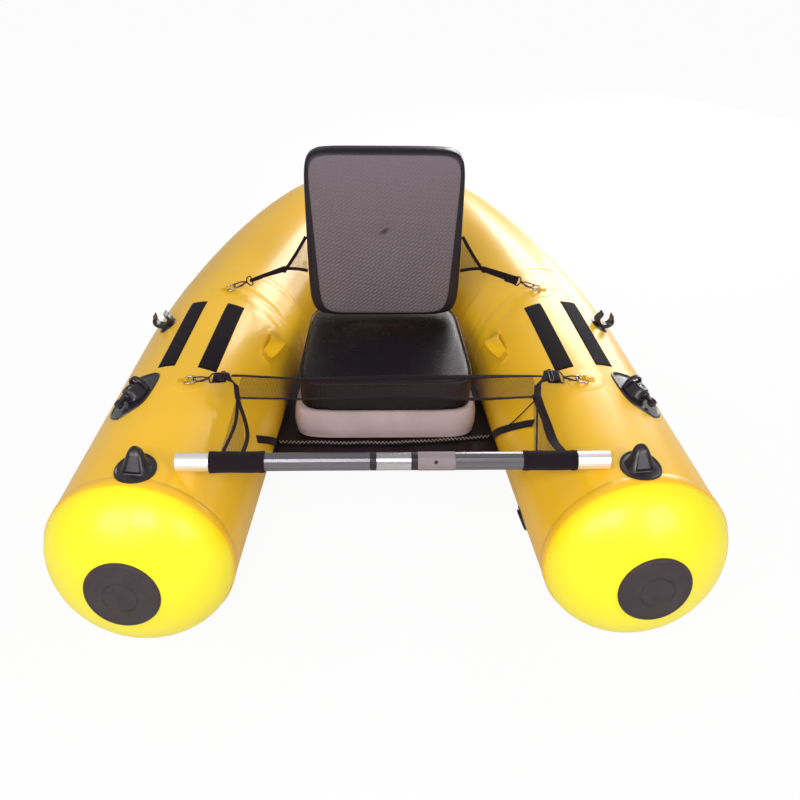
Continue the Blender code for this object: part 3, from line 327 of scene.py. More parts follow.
class Finish:
    # A material, with short ways to add and link its shader nodes
    def __init__(self, name, colour, roughness, **sockets):
        self.material = bpy.data.materials.new(name)
        self.material.use_nodes = True
        self.tree = self.material.node_tree
        self.shader = self.tree.nodes["Principled BSDF"]
        for key, value in dict(sockets, Base_Color=colour, Roughness=roughness).items():
            self.shader.inputs[key.replace("_", " ")].default_value = value

    def add(self, kind, sockets=(), **settings):
        return addNode(self.tree, kind, sockets, **settings)

    def mapping(self, vector, **sockets):
        return self.add("Mapping", {"Vector": vector, **sockets}).outputs["Vector"]

    def place(self, scale=(1, 1, 1), turn=(0, 0, 0), uv=False):
        if uv:
            return self.add("UVMap", uv_map="metres").outputs["UV"]
        return self.mapping(self.add("TexCoord").outputs["Object"], Scale=scale, Rotation=turn)

    def noise(self, scale, detail=2.0, vector=None, roughness=0.5):
        sockets = {"Scale": scale, "Detail": detail, "Roughness": roughness, "Vector": vector or self.place()}
        return self.add("TexNoise", sockets).outputs["Fac"]

    def waves(self, vector, direction, scale):
        sockets = {"Vector": vector, "Scale": scale, "Distortion": 0.0}
        made = self.add("TexWave", sockets, bands_direction=direction, wave_profile="SIN")
        return made.outputs["Fac"]

    def cells(self, scale):
        return self.add("TexVoronoi", {"Scale": scale, "Vector": self.place()}).outputs["Distance"]

    def math(self, operation, a, b=0.0):
        return self.add("Math", {0: a, 1: b}, operation=operation).outputs[0]

    def ramp(self, value, low, high, fromLow=0.0, fromHigh=1.0):
        sockets = {"Value": value, "From Min": fromLow, "From Max": fromHigh, "To Min": low, "To Max": high}
        return self.add("MapRange", sockets).outputs["Result"]

    def mixed(self, share, first, second):
        return self.add("Mix", {0: share, 6: first, 7: second}, data_type="RGBA").outputs[2]

    def blend(self, value, low, high, first, second):
        # From the first colour to the second as the value goes from low to high
        return self.mixed(self.ramp(value, 0, 1, low, high), first, second)

    def bumps(self, *bumps):
        # Bumps are (height, distance, strength), one upon the other
        normal = None
        for height, distance, strength in bumps:
            sockets = {"Height": height, "Distance": distance, "Strength": strength}
            if normal:
                sockets["Normal"] = normal
            normal = self.add("Bump", sockets).outputs["Normal"]
        return normal

    def done(self, **sockets):
        for key, value in sockets.items():
            self.tree.links.new(value, self.shader.inputs[key.replace("_", " ")])
        return self.material


# Finishes

def coatedFabric(name, colour, roughness):
    # Glossy coated fabric: the scrim shows through faintly, and the coat has slow dents
    made = Finish(name, colour, roughness, Specular_IOR_Level=0.5, Coat_Weight=0.18, Coat_Roughness=0.12)
    threads = made.math("ADD", *(made.waves(made.place(), way, 260) for way in "XY"))
    return made.done(
        Base_Color=made.blend(made.noise(3.2, 3.0), 0.3, 0.7, varied(colour, 0.93), varied(colour, 1.03)),
        Normal=made.bumps((threads, 0.00006, 0.35), (made.noise(9.0), 0.0022, 0.35),
                          (made.noise(420.0), 0.00006, 0.5)),
        Roughness=made.ramp(made.noise(26.0, 4.0), roughness - 0.04, roughness + 0.07))


def moulded(name, colour, roughness, grain=0.00010, worn=1.6, specular=0.4):
    # Moulded rubber or plastic: fine grain, and lighter where the surface is worn
    made = Finish(name, colour, roughness, Specular_IOR_Level=specular)
    return made.done(
        Base_Color=made.blend(made.noise(38.0, 5.0, roughness=0.65), 0.42, 0.72, colour,
                              varied(colour, worn)),
        Normal=made.bumps((made.noise(900.0), grain, 0.6), (made.noise(60.0), 0.0004, 0.25)),
        Roughness=made.ramp(made.noise(70.0, 3.0), roughness - 0.05, roughness + 0.12))


def webbing(name, colour, roughness=0.85, rib=0.0016):
    # Woven strap: ribs across it, and a row of threads along each edge
    made = Finish(name, colour, roughness, Specular_IOR_Level=0.12, Sheen_Weight=0.04, Sheen_Roughness=0.5)
    across = made.place(uv=True)
    weave = made.math("MULTIPLY", *(made.waves(across, way, pi / 10 / rib) for way in "XY"))
    return made.done(Base_Color=made.blend(weave, 0.1, 0.8, varied(colour, 0.7), varied(colour, 1.25)),
                     Normal=made.bumps((weave, 0.0004, 0.8)))


def diamondVinyl(name, colour, roughness, cell, depth, specular):
    # Upholstery vinyl pressed with a small diamond pattern, in the object's own X and Y
    made = Finish(name, colour, roughness, Specular_IOR_Level=specular, Coat_Weight=0.0, Coat_Roughness=0.2)
    base = made.place(turn=(0, 0, radians(45)))
    lines = [made.math("POWER", made.waves(base, way, pi / 10 / cell), 3.0) for way in "XY"]
    pressed = made.math("MAXIMUM", *lines)
    shade = made.blend(pressed, 0, 1, varied(colour, 1.12), varied(colour, 0.78))
    slow = made.blend(made.noise(7.0, 4.0), 0.35, 0.7, shade, varied(colour, 1.2))
    return made.done(Base_Color=made.mixed(0.3, shade, slow),
                     Normal=made.bumps((pressed, -depth, 0.8), (made.noise(650.0, 3.0), 0.00004, 0.5)),
                     Roughness=made.ramp(made.noise(30.0, 3.0), roughness - 0.04, roughness + 0.08))


def dashedVinyl(name, colour, roughness, dash, depth, pucker=0.471):
    # Vinyl pressed with rows of short slanting dashes, plainer towards its top, in the object's X and Z
    made = Finish(name, colour, roughness, Specular_IOR_Level=0.35)
    base = made.mapping(made.place(turn=(radians(90), 0, 0)), Rotation=(0, 0, radians(36)))
    sockets = {"Vector": base, "Scale": 1.0, "Mortar Size": dash * 0.12, "Mortar Smooth": 0.8,
               "Brick Width": dash, "Row Height": dash * 0.46}
    high = made.add("SeparateXYZ", {"Vector": made.place()}).outputs["Z"]
    pressed = made.math("MULTIPLY", made.add("TexBrick", sockets).outputs["Fac"],
                        made.ramp(high, 1.0, 0.25, 0.36, 0.60))
    shade = made.blend(pressed, 0, 1, varied(colour, 1.08), varied(colour, 0.66))
    slow = made.blend(made.noise(9.0, 4.0), 0.35, 0.7, shade, varied(colour, 1.15))
    # A slanting pucker where the cover is drawn in: a real dent in the bump, and painted shade that darkens its
    # colour
    spot = made.mapping(made.place(), Location=(0, 0, -pucker), Scale=(1, 0, 1))
    narrow = made.mapping(made.mapping(spot, Rotation=(0, radians(34), 0)), Scale=(0.55, 1, 1.5))
    off = made.add("VectorMath", {0: narrow}, operation="LENGTH").outputs["Value"]
    dentAndPaintedShade = made.math("POWER", made.ramp(off, 1, 0, 0, 0.011), 1.6)
    # The pucker's colour is darkened towards black: painted shade in the dent
    shade = made.mixed(made.math("MULTIPLY", dentAndPaintedShade, 0.35), shade, varied(colour, 0.3))
    return made.done(Base_Color=made.mixed(0.3, shade, slow),
                     Normal=made.bumps((pressed, -depth, 0.8), (made.noise(700.0, 3.0), 0.00012, 0.5),
                                       (dentAndPaintedShade, -0.009, 1.0)),
                     Roughness=made.ramp(made.noise(30.0, 3.0), roughness - 0.04, roughness + 0.08))


def smoothVinyl(name, colour, roughness, specular):
    made = Finish(name, colour, roughness, Specular_IOR_Level=specular)
    return made.done(Base_Color=made.blend(made.noise(12.0, 4.0), 0.35, 0.7, colour, varied(colour, 1.25)),
                     Normal=made.bumps((made.cells(620.0), 0.00018, 0.6),
                                       (made.noise(22.0, 3.0), 0.0011, 0.3)),
                     Roughness=made.ramp(made.noise(40.0, 3.0), roughness - 0.04, roughness + 0.1))


def netting(name, colour, cell, thread):
    # Open netting: threads both ways, clear between them
    made = Finish(name, colour, 0.8, Specular_IOR_Level=0.2)
    place = made.place(uv=True)
    limit = cos(pi * thread / cell) * 0.5 + 0.5
    strands = [made.math("GREATER_THAN", made.waves(place, way, pi / 10 / cell), limit) for way in "XY"]
    return made.done(Alpha=made.math("MAXIMUM", *strands))


def brushed(name, colour, roughness, lines=(200, 200, 200)):
    # Drawn metal: fine lines along the tube, with faint smears
    made = Finish(name, colour, roughness, Metallic=1.0)
    drawn = made.noise(1.0, 3.0, made.place(lines))
    smear = made.noise(45.0, 4.0)
    return made.done(Base_Color=made.blend(smear, 0.4, 0.75, colour, varied(colour, 0.86)),
                     Normal=made.bumps((drawn, 0.00001, 0.4)),
                     Roughness=made.ramp(made.math("ADD", drawn, smear), roughness - 0.05, roughness + 0.12,
                                         0.6, 1.4))


def barFinish(name):
    # Smoky drawn metal between the sleeves and bare pale metal outside them, in the object's X
    made = Finish(name, plain(120, 117, 122), 0.28, Metallic=0.85)
    near = made.math("ABSOLUTE", made.add("SeparateXYZ", {"Vector": made.place()}).outputs["X"])
    outside = made.ramp(near, 0, 1, 0.300, 0.306)
    drawn = made.noise(1.0, 3.0, made.place(tubeLines))
    smoky = made.blend(drawn, 0.3, 0.7, plain(112, 109, 114), plain(126, 123, 128))
    pale = made.blend(drawn, 0.3, 0.7, plain(244, 243, 240), plain(254, 253, 250))
    blotches = made.ramp(made.noise(14.0, 4.0), 0.95, 1.0, 0.35, 0.7)
    return made.done(Base_Color=made.mixed(blotches, plain(120, 117, 120), made.mixed(outside, smoky, pale)),
                     Normal=made.bumps((drawn, 0.000004, 0.3)),
                     Roughness=made.ramp(made.math("ADD", made.noise(22.0, 3.0), outside), 0.22, 0.50, 0, 2))


def hookTape(name, colour):
    # Hook side of touch tape: rows of stiff hooks
    made = Finish(name, colour, 0.75, Specular_IOR_Level=0.1, Sheen_Weight=0.04, Sheen_Roughness=0.4)
    hooks = made.cells(520.0)
    return made.done(Base_Color=made.blend(hooks, 0.1, 0.7, varied(colour, 1.5), varied(colour, 0.6)),
                     Normal=made.bumps((hooks, -0.0008, 0.9)))


tubeLines = (1.5, 420, 420)
pvcYellow = coatedFabric("pvc_yellow", plain(247, 192, 30), 0.36)
capYellow = coatedFabric("cap_yellow", plain(255, 236, 20), 0.36)
blackRubber = moulded("black_rubber", plain(30, 24, 29), 0.27, specular=0.55)
glossPlastic = moulded("gloss_plastic", plain(28, 22, 28), 0.26, grain=0.00002, specular=0.55)
discRubber = moulded("disc_rubber", plain(58, 49, 52), 0.55, grain=0.00014, worn=1.25, specular=0.3)
blackWebbing = webbing("black_webbing", plain(34, 22, 30))
yellowWebbing = webbing("yellow_webbing", plain(255, 190, 22), 0.5, rib=0.0020)
blackNet = netting("black_net", plain(50, 33, 35), 0.0028, 0.00038)
cushionVinyl = diamondVinyl("cushion_vinyl", plain(15, 8, 14), 0.24, 0.0062, 0.0004, 0.28)
panelVinyl = dashedVinyl("panel_vinyl", plain(106, 94, 101), 0.56, 0.0145, 0.0010)
edgeVinyl = smoothVinyl("edge_vinyl", plain(26, 18, 25), 0.36, 0.3)
boxSkin = smoothVinyl("box_skin", plain(180, 162, 166), 0.42, 0.35)
floorVinyl = smoothVinyl("floor_vinyl", plain(30, 20, 25), 0.45, 0.25)
tapeStitch = Finish("tape_stitch", plain(200, 188, 176), 0.7).material
barMetal = barFinish("bar_metal")
middleMetal = brushed("middle_metal", plain(196, 194, 196), 0.24, tubeLines)
brightMetal = brushed("bright_metal", plain(190, 182, 172), 0.20)
darkMetal = brushed("dark_metal", plain(74, 62, 62), 0.30)
collarPlastic = moulded("collar_plastic", plain(134, 120, 124), 0.48, worn=1.08)
ringPlastic = moulded("ring_plastic", plain(28, 23, 28), 0.38)
stripTape = hookTape("strip_tape", plain(24, 13, 21))
print("finishes made")


# Air tube surface

hull = {
    "radius": 0.1697, "axisHeight": 0.170, "ringHalf": 0.4459, "legTurn": radians(5.82), "legLength": 0.588,
    "nearHandle": 0.176, "farHandle": 0.2366, "sternHalf": 0.1715, "sternY": 1.3333, "sternTurn": radians(29.9),
    "samples": 60, "capReach": 0.1074, "capPower": 1.13, "capTilt": radians(6.4),
}
rowShift = -0.7447
# Creases on the inside of the bend: place along the tube, angle, width, and depth
creases = [(0.712, 124, 0.0085, 0.0036), (0.655, 158, 0.009, 0.0022), (0.742, 176, 0.008, 0.0030),
           (0.905, 184, 0.007, 0.0026), (1.010, 178, 0.008, 0.0030), (1.105, 186, 0.007, 0.0028),
           (1.205, 178, 0.008, 0.0034), (1.300, 184, 0.007, 0.0030), (1.395, 180, 0.008, 0.0036),
           (1.485, 180, 0.007, 0.0032), (1.570, 182, 0.006, 0.0024)]


def axisSamples():
    # Points down the middle of the right half of the tube, from the cap ring to the middle of the stern
    count, turn = hull["samples"], hull["sternTurn"]
    start, stern = np.array((hull["ringHalf"], 0.0)), np.array((hull["sternHalf"], hull["sternY"]))
    ahead = np.array((-sin(hull["legTurn"]), cos(hull["legTurn"])))
    legEnd = start + ahead * hull["legLength"]
    near = legEnd + ahead * hull["nearHandle"]
    far = stern - np.array((-sin(turn), cos(turn))) * hull["farHandle"]
    points = [start + (legEnd - start) * k / count for k in range(count)]
    for k in range(count):
        t = k / count
        u = 1 - t
        points.append(legEnd * u ** 3 + near * 3 * u * u * t + far * 3 * u * t * t + stern * t ** 3)
    bend = hull["sternHalf"] / cos(turn)
    middle = hull["sternY"] - bend * sin(turn)
    points = np.array(points + [(bend * cos(t), middle + bend * sin(t)) for t in spread(turn, pi / 2, count)])
    steps = np.gradient(points, axis=0)
    headings = np.arctan2(-steps[:, 0], steps[:, 1])
    headings[-1] = pi / 2
    along = np.concatenate(([0.0], np.cumsum(np.linalg.norm(np.diff(points, axis=0), axis=1))))
    return along, points, headings


axisAlong, axisPoints, axisHeadings = axisSamples()
halfHull = float(axisAlong[-1])


def axisAt(along):
    x, y, heading = (float(np.interp(along, axisAlong, column)) for column in (*axisPoints.T, axisHeadings))
    if along < 0:
        x += along * sin(heading)
        y += along * cos(heading)
    return x, y + rowShift, heading


def creaseDepth(along, angle):
    depth = 0.0
    for place, middle, width, deep in creases:
        off = (along - place - 0.012 * sin(radians(angle * 3 + place * 700))) / width
        around = (angle - middle) / 38
        if abs(off) < 3 and abs(around) < 2.5:
            depth += deep * (bell(off) - 0.35 * exp(-(abs(off) - 1.6) ** 2 * 2)) * bell(around)
    return depth


def hullPoint(along, angle, lift=0.0):
    # A point on the tube, lifted off it. Past the middle of the stern it is on the left half.
    if along > halfHull:
        return mirrorX @ hullPoint(2 * halfHull - along, angle, lift)
    x, y, heading = axisAt(along)
    reach = hull["radius"] + lift - creaseDepth(along, angle)
    side = reach * cos(radians(angle))
    return Vector((x + side * cos(heading), y + side * sin(heading),
                   hull["axisHeight"] + reach * sin(radians(angle))))


def hullFrame(along, angle, lift=0.0, turn=0.0):
    # x rearwards along the tube, y inboard across it, z out of it, turned about z
    heading, tilt = axisAt(along)[2], radians(angle)
    rear = Vector((-sin(heading), cos(heading), 0))
    normal = Vector((cos(heading), sin(heading), 0)) * cos(tilt) + up * sin(tilt)
    place = frameOf(hullPoint(along, angle, lift), rear, normal.cross(rear), normal)
    return moved(place, 0, 0, 0, turn)


def padPoint(spot, x, y, lift):
    # Laid on the tube from a flat place: spot is (along, angle, turn)
    along, angle, turn = spot
    ahead, inboard = x * cos(turn) - y * sin(turn), x * sin(turn) + y * cos(turn)
    return hullPoint(along + ahead, angle + degrees(inboard / hull["radius"]), lift)


def hullMound(spot, outline, profile):
    # A pad of any outline on the tube. Profile points are (share of the outline, lift), from the foot inwards.
    rows = [[padPoint(spot, x * share, y * share, lift) for x, y in outline] for share, lift in profile]
    return closedShell(rows, *(padPoint(spot, 0, 0, profile[k][1]) for k in (0, -1)))


def oval(halfLong, halfWide):
    return [(halfLong * cos(t), halfWide * sin(t)) for t in turnsOf(64)]


tubes = {"sides": 88, "legSteps": 80, "sternSteps": 110, "seam": 0.8174, "lap": 0.019, "rise": 0.0009,
         "rearShare": 0.45, "wall": 0.0009, "skirt": 0.012, "sternSink": -0.0003}


def tubeSkin(stops):
    angles = [360 * k / tubes["sides"] for k in range(tubes["sides"])]
    rows = [[hullPoint(along, angle, lift) for angle in angles] for along, lift in stops]
    return thickened(gridMesh(rows, around=True), tubes["wall"])


def makeTubes():
    # Each leg's fabric laps over its cap in front and over the stern behind, with a raised welded band
    lap, rise, seam, skirt = (tubes[key] for key in ("lap", "rise", "seam", "skirt"))
    flat = rise * tubes["rearShare"]
    front = [(0.0, -rise), (0.0, rise * 0.6), (0.0007, rise), (lap, rise), (lap + 0.0016, 0)]
    rear = [(seam - lap - 0.003, 0), (seam - lap, flat), (seam - 0.0007, flat), (seam, flat * 0.6),
            (seam, -rise)]
    leg = [(along, 0) for along in spread(front[-1][0] + 0.004, rear[0][0] - 0.004, tubes["legSteps"])]
    addBoth("leg_skin", tubeSkin(front + leg + rear), pvcYellow, "leg_tube")
    stern = spread(seam - skirt, 2 * halfHull - seam + skirt, tubes["sternSteps"])
    stern = [(along, tubes["sternSink"]) for along in stern]
    addPiece("stern_skin", tubeSkin(stern), pvcYellow, "stern_tube")


def domePoint(angle, lift):
    turn, power = radians(angle), hull["capPower"]
    radius = (hull["radius"] + lift) * max(cos(turn), 0) ** power
    return radius, (hull["capReach"] + lift) * sin(turn) ** power


def domeDegrees(radius):
    return degrees(acos((radius / hull["radius"]) ** (1 / hull["capPower"])))


def capPoint(radius, reach, turn):
    # The dome bends upwards towards its tip
    x, y, heading = axisAt(0)
    out = Vector((cos(heading), sin(heading), 0))
    ahead = Vector((sin(heading), -cos(heading), 0))
    bend = hull["capTilt"] * max(reach, 0) / hull["capReach"]
    side, rise = radius * cos(turn), radius * sin(turn)
    high = rise * cos(bend) + reach * sin(bend)
    forward = reach * cos(bend) - rise * sin(bend)
    return Vector((x, y, hull["axisHeight"])) + out * side + ahead * forward + up * high


def capRows(profile, sides):
    return [[capPoint(radius, reach, turn) for turn in turnsOf(sides)] for radius, reach in profile]


caps = {"sides": 96, "steps": 34, "sink": 0.0006, "skirt": 0.016, "wall": 0.0009}


def makeCaps():
    profile = [domePoint(90 * (1 - share) ** 1.15, -caps["sink"]) for share in spread(0, 1, caps["steps"])]
    inside = hull["radius"] - caps["sink"] - 0.0003
    profile += [(inside, -0.001), (inside, -caps["skirt"])]
    cap = thickened(gridMesh(capRows(profile, caps["sides"]), around=True), caps["wall"], 1.0)
    addBoth("cap_skin", cap, capYellow, "end_cap")


disc = {"edge": 64.0, "rimRadius": 0.0640, "rim": 0.0052, "rimIn": 0.0608, "face": 0.0036,
        "ringRadius": 0.0300, "ring": 0.0009, "sides": 96}


def makeDiscs():
    # A moulded pad with a rounded rim, a shallow dish and a ring pressed into it
    edge = domePoint(disc["edge"], 0)[0]
    outer, rim, inner, face = (disc[key] for key in ("rimRadius", "rim", "rimIn", "face"))
    spots = [(0.0, 0.0002), (edge, 0.0002), (edge, 0.0012), (edge - 0.0006, 0.0026), (outer, rim),
             (outer - 0.0012, rim + 0.0004), (inner, rim - 0.0002), (inner - 0.0014, face + 0.0003),
             (inner - 0.004, face)]
    ring = ((0.0040, 0), (0.0018, 0), (0.0008, -1), (-0.0008, -1), (-0.0018, 0.4), (-0.0050, 0.6))
    spots += [(disc["ringRadius"] + off, face + deep * disc["ring"]) for off, deep in ring]
    spots += [(0.016, face + 0.0009), (0.006, face + 0.0011), (0.0, face + 0.0011)]
    profile = [(radius, domePoint(domeDegrees(max(radius, 1e-7)), lift)[1]) for radius, lift in spots]
    addBoth("disc_pad", shell(capRows(profile, disc["sides"])), discRubber, "end_disc")


makeTubes()
makeCaps()
makeDiscs()
print("air tubes made")


# Fittings on the tubes

holder = {
    "spot": (0.045, 91.0, 0.0), "long": 0.042, "wide": 0.036, "rim": 0.0042, "dish": 0.0022,
    "rootLong": 0.0195, "rootWide": 0.0225, "topLong": 0.0078, "topWide": 0.0100, "high": 0.0405, "lean": 0.012,
    "panelWall": 0.0052, "panelDeep": 0.0042,
}


def makeHolders():
    # An oval dish with a bell-shaped fin, whose flat front has a sunk panel
    rim, low = holder["rim"], holder["dish"]
    profile = [(1.0, -0.001), (1.0, 0.0018), (0.985, 0.0034), (0.955, rim), (0.925, rim), (0.895, 0.0034),
               (0.86, low), (0.6, low + 0.0006), (0.2, low + 0.001)]
    dish = hullMound(holder["spot"], oval(holder["long"], holder["wide"]), profile)
    place = hullFrame(*holder["spot"][:2])
    levels, panel = [], []
    for share in spread(0, 1, 12):
        swell = sqrt(max(0.0, 1 - max(0.0, (share - 0.62) / 0.38) ** 2.3))
        swell = max(swell, 0.12) * (1 + (1 - share) ** 5 * 0.22)
        levels.append((between(holder["rootLong"], holder["topLong"], share) * swell,
                       between(holder["rootWide"], holder["topWide"], share) * swell,
                       share * holder["lean"], share * holder["high"]))
    for share in (0.10, 0.74):
        front = share * holder["lean"] - between(holder["rootLong"], holder["topLong"], share)
        wide = between(holder["rootWide"], holder["topWide"], share) - holder["panelWall"]
        panel.append(towerRing(place, 0.012, wide, front - 0.012 + holder["panelDeep"],
                               share * holder["high"], 0.25, 24))
    cutter = closedShell(panel, *(sum(ring, Vector()) / len(ring) for ring in panel))
    fin = cutBy(tower(place, levels, 0.62, 48), cutter)
    addBoth("holder_moulding", joined(dish, fin), blackRubber, "rope_holder", sharp=32)


oarlock = {
    "along": 0.285, "angle": 65.0, "turn": radians(24), "padSpot": (0.287, 61.5, radians(4)), "long": 0.073,
    "wide": 0.044, "bossLong": 0.024, "bossWide": 0.017, "topLong": 0.0205, "topWide": 0.0135, "high": 0.024,
    "shift": 0.004, "flatShift": -0.001, "archShift": 0.019, "archRadius": 0.0185, "archRise": 0.012,
    "bandHalf": 0.0048, "bandThick": 0.0052, "knobHeight": 0.0135, "pin": 0.0040, "knobRadius": 0.0080,
    "knobEnd": 0.0270, "lobes": 6,
}


def oarlockOutline():
    # Pointed in front and square behind, with soft corners
    shares = ((-1, 0), (-0.995, 0.05), (-0.86, 0.42), (-0.66, 0.76), (-0.42, 0.94), (-0.1, 1), (0.4, 1),
              (0.78, 0.94), (0.94, 0.80), (1, 0.58), (1, 0.2), (1, 0))
    edge = curved([Vector((oarlock["long"] * x, oarlock["wide"] * y, 0)) for x, y in shares], 4)
    edge = [(p.x, max(p.y, 0.0)) for p in edge]
    return edge[:-1] + [(x, -y) for x, y in reversed(edge[1:])]


def makeOarlocks():
    # A long diamond pad with a raised lip, a block with a bolt in its top, a strap over it and a clamp knob
    profile = [(1.0, -0.001), (1.0, 0.0014), (0.985, 0.0030), (0.955, 0.0038), (0.92, 0.0036), (0.885, 0.0020),
               (0.80, 0.0018), (0.45, 0.0028), (0.1, 0.0034)]
    pad = hullMound(oarlock["padSpot"], oarlockOutline(), profile)
    place = hullFrame(oarlock["along"], oarlock["angle"], 0, oarlock["turn"])
    long, wide, high, shift = (oarlock[key] for key in ("bossLong", "bossWide", "high", "shift"))
    topLong, topWide, flat = (oarlock[key] for key in ("topLong", "topWide", "flatShift"))
    levels = [(long * 1.16, wide * 1.2, shift, 0.001), (long * 1.04, wide * 1.06, shift, 0.0035),
              (long, wide, shift, 0.007), (long * 0.94, wide * 0.92, shift, 0.014),
              (topLong, topWide, shift * 0.8, high * 0.80),
              (topLong * 0.9, topWide * 0.9, shift * 0.4, high * 0.93),
              (topLong * 0.70, topWide * 0.74, flat, high), (0.0075, 0.0075, flat, high)]
    top = moved(place, -0.001, 0, high)
    recess = turned([(0, -0.004), (0.0062, -0.004), (0.0066, 0.002), (0, 0.002)], top)
    boss = cutBy(tower(place, levels, 0.62, 48), recess)
    bolt = turned([(0, -0.0042), (0.0044, -0.0042), (0.0044, -0.0016), (0.0040, -0.0010), (0.0022, -0.0009),
                   (0.0020, -0.0026), (0, -0.0026)], top, 6)
    knobPlace = moved(place, shift - long, 0, oarlock["knobHeight"], -pi / 2, "Y")
    socket = turned([(0, -0.004), (0.0092, -0.004), (0.0092, 0.0016), (0.0080, 0.0032), (0.0052, 0.0036),
                     (0, 0.0036)], knobPlace)
    radius = oarlock["archRadius"]
    arch = [(-radius - 0.001, 0.0015), *roundCorner(0, oarlock["archRise"], radius, 180, 0, 20),
            (radius + 0.001, 0.0015)]
    path = [place @ Vector((oarlock["archShift"], y, z)) for y, z in arch]
    band = strap(path, place.to_3x3() @ right * oarlock["bandHalf"], oarlock["bandThick"])
    addBoth("oarlock_moulding", joined(pad, boss, socket, band), glossPlastic, "oarlock_base", sharp=32)
    addBoth("oarlock_bolt", bolt, brightMetal)
    end, big, pin = oarlock["knobEnd"], oarlock["knobRadius"], oarlock["pin"]
    profile = [(0, -0.008, 0), (pin, -0.008, 0), (pin, 0.0135, 0), (big * 0.9, 0.0145, 1), (big, 0.0160, 1),
               (big * 1.03, end - 0.0030, 1), (big * 0.93, end - 0.0008, 1), (big * 0.72, end, 0.5),
               (big * 0.30, end - 0.0002, 0), (0, end - 0.0002, 0)]
    knob = turned(profile, knobPlace, 72, oarlock["lobes"], 0.10, 0.4)
    addBoth("clamp_knob", knob, ringPlastic, "oarlock_knob", "knob")


clip = {"spot": (0.575, 58.0, 0.0), "long": 0.026, "wide": 0.020, "inner": 0.0128, "thick": 0.0078,
        "half": 0.0115, "mouth": 84.0, "lean": -14.0, "flare": 0.0050}


def makeClips():
    # An open ring with flared tips on an oval pad, with a web at its foot
    profile = [(1.0, -0.001), (1.0, 0.0014), (0.97, 0.0026), (0.90, 0.0032), (0.5, 0.0036), (0.1, 0.0040)]
    pad = hullMound(clip["spot"], oval(clip["long"], clip["wide"]), profile)
    place = hullFrame(*clip["spot"][:2])
    centre = 0.0012 + clip["inner"] + clip["thick"]
    low, high = (start + clip["lean"] + way * clip["mouth"] / 2 for start, way in ((90, 1), (450, -1)))
    path, across, thick = [], [], []
    for share in spread(0, 1, 44):
        turn, rise = radians(between(low, high, share)), abs(share - 0.5) * 2
        tip = max(0.0, rise - 0.80) / 0.20
        wall = clip["thick"] + 0.0026 * sin(pi * min(1.0, rise * 1.1))
        wall *= 1 - 0.88 * max(0.0, (rise - 0.5) / 0.5) ** 1.2
        reach = clip["inner"] + wall / 2 + clip["flare"] * tip ** 1.5
        thick.append(wall)
        path.append(place @ Vector((0, reach * cos(turn), centre + reach * sin(turn))))
        across.append(place.to_3x3() @ right * clip["half"] * (1 - 0.12 * tip))
    levels = [(0.0125, 0.0120, 0, 0.001), (0.0115, 0.0095, 0, 0.004), (0.0105, 0.0085, 0, 0.0075)]
    mesh = joined(pad, strap(path, across, thick), tower(place, levels, 0.5, 32))
    addBoth("clip_moulding", mesh, blackRubber, "oar_clip", sharp=32, slot="plastic_black")


strips = {"front": 0.377, "rear": 0.649, "thick": 0.0019, "inner": (99.3, 112.2), "outer": (71.4, 83.8),
          "border": 0.0022, "ends": ((0.0, 0.15), (0.0002, 0.6), (0.0012, 0.7))}


def makeStrips():
    front, rear, ends = strips["front"], strips["rear"], strips["ends"]
    edge = degrees(strips["border"] / hull["radius"])
    stops = [(front + off, share) for off, share in ends]
    stops += [(along, 1.0) for along in spread(front + 0.0025, rear - 0.0025, 40)]
    stops += [(rear - off, share) for off, share in reversed(ends)]
    for name in ("inner", "outer"):
        low, high = strips[name]
        columns = [(low, 0.0), (low, 0.0009), (low + edge * 0.3, 0.0012), (low + edge, 0.0012)]
        columns += [(angle, strips["thick"]) for angle in spread(low + edge * 1.15, high - edge * 1.15, 8)]
        columns += [(high - edge, 0.0012), (high - edge * 0.3, 0.0012), (high, 0.0009), (high, 0.0)]
        rows = [[hullPoint(along, angle, 0.0001 + lift * share) for angle, lift in columns]
                + [hullPoint(along, angle, -0.0006) for angle in (high, low)] for along, share in stops]
        mesh = closedEnds(gridMesh(rows, around=True))
        addBoth("tape_strip_" + name, mesh, stripTape, "hook_strip_" + name)


def closedEnds(mesh):
    # Fills the open ends of a swept shape
    work = bmesh.new()
    work.from_mesh(mesh)
    bmesh.ops.holes_fill(work, edges=[edge for edge in work.edges if edge.is_boundary], sides=0)
    bmesh.ops.recalc_face_normals(work, faces=work.faces)
    work.to_mesh(mesh)
    work.free()
    return mesh


loop = {"front": 0.520, "rear": 0.635, "angle": 142.0, "foot": 0.020, "half": 0.0125, "swell": 0.36,
        "thick": 0.0018, "rise": 0.021, "twist": 0.66, "patch": 0.021}


def makeLoops():
    # A webbing handle: both feet lie on the tube, and its middle stands up and leans inboard a little
    front, rear, angle, foot = (loop[key] for key in ("front", "rear", "angle", "foot"))
    path, across = [], []
    for along in spread(front, rear, 36):
        span = (along - front - foot) / (rear - front - 2 * foot)
        rise = sin(pi * span) ** 0.8 if 0 < span < 1 else 0.0
        path.append(hullPoint(along, angle, 0.0010 + loop["rise"] * rise))
        side = (hullPoint(along, angle + 1) - hullPoint(along, angle - 1)).normalized()
        normal = hullFrame(along, angle).to_3x3() @ up
        twist = loop["twist"] * rise
        across.append((side * cos(twist) + normal * sin(twist)) * loop["half"] * (1 + loop["swell"] * rise))
    profile = [(1.0, -0.001), (1.0, 0.0006), (0.96, 0.0010), (0.4, 0.0010)]
    patches = [hullMound((along, angle, 0.0), oval(loop["patch"], loop["patch"]), profile)
               for along in (front + foot / 2, rear - foot / 2)]
    addBoth("handle_webbing", strap(path, across, loop["thick"]), yellowWebbing, "grab_loop")
    addBoth("handle_patch", joined(*patches), pvcYellow)


valve = {"flange": 0.028, "stem": 0.0190, "neck": 0.0030, "cap": 0.0220, "capThick": 0.0036, "deep": 0.012,
         "grips": 24, "right": (0.190, 202.5), "left": (0.660, 7.5)}


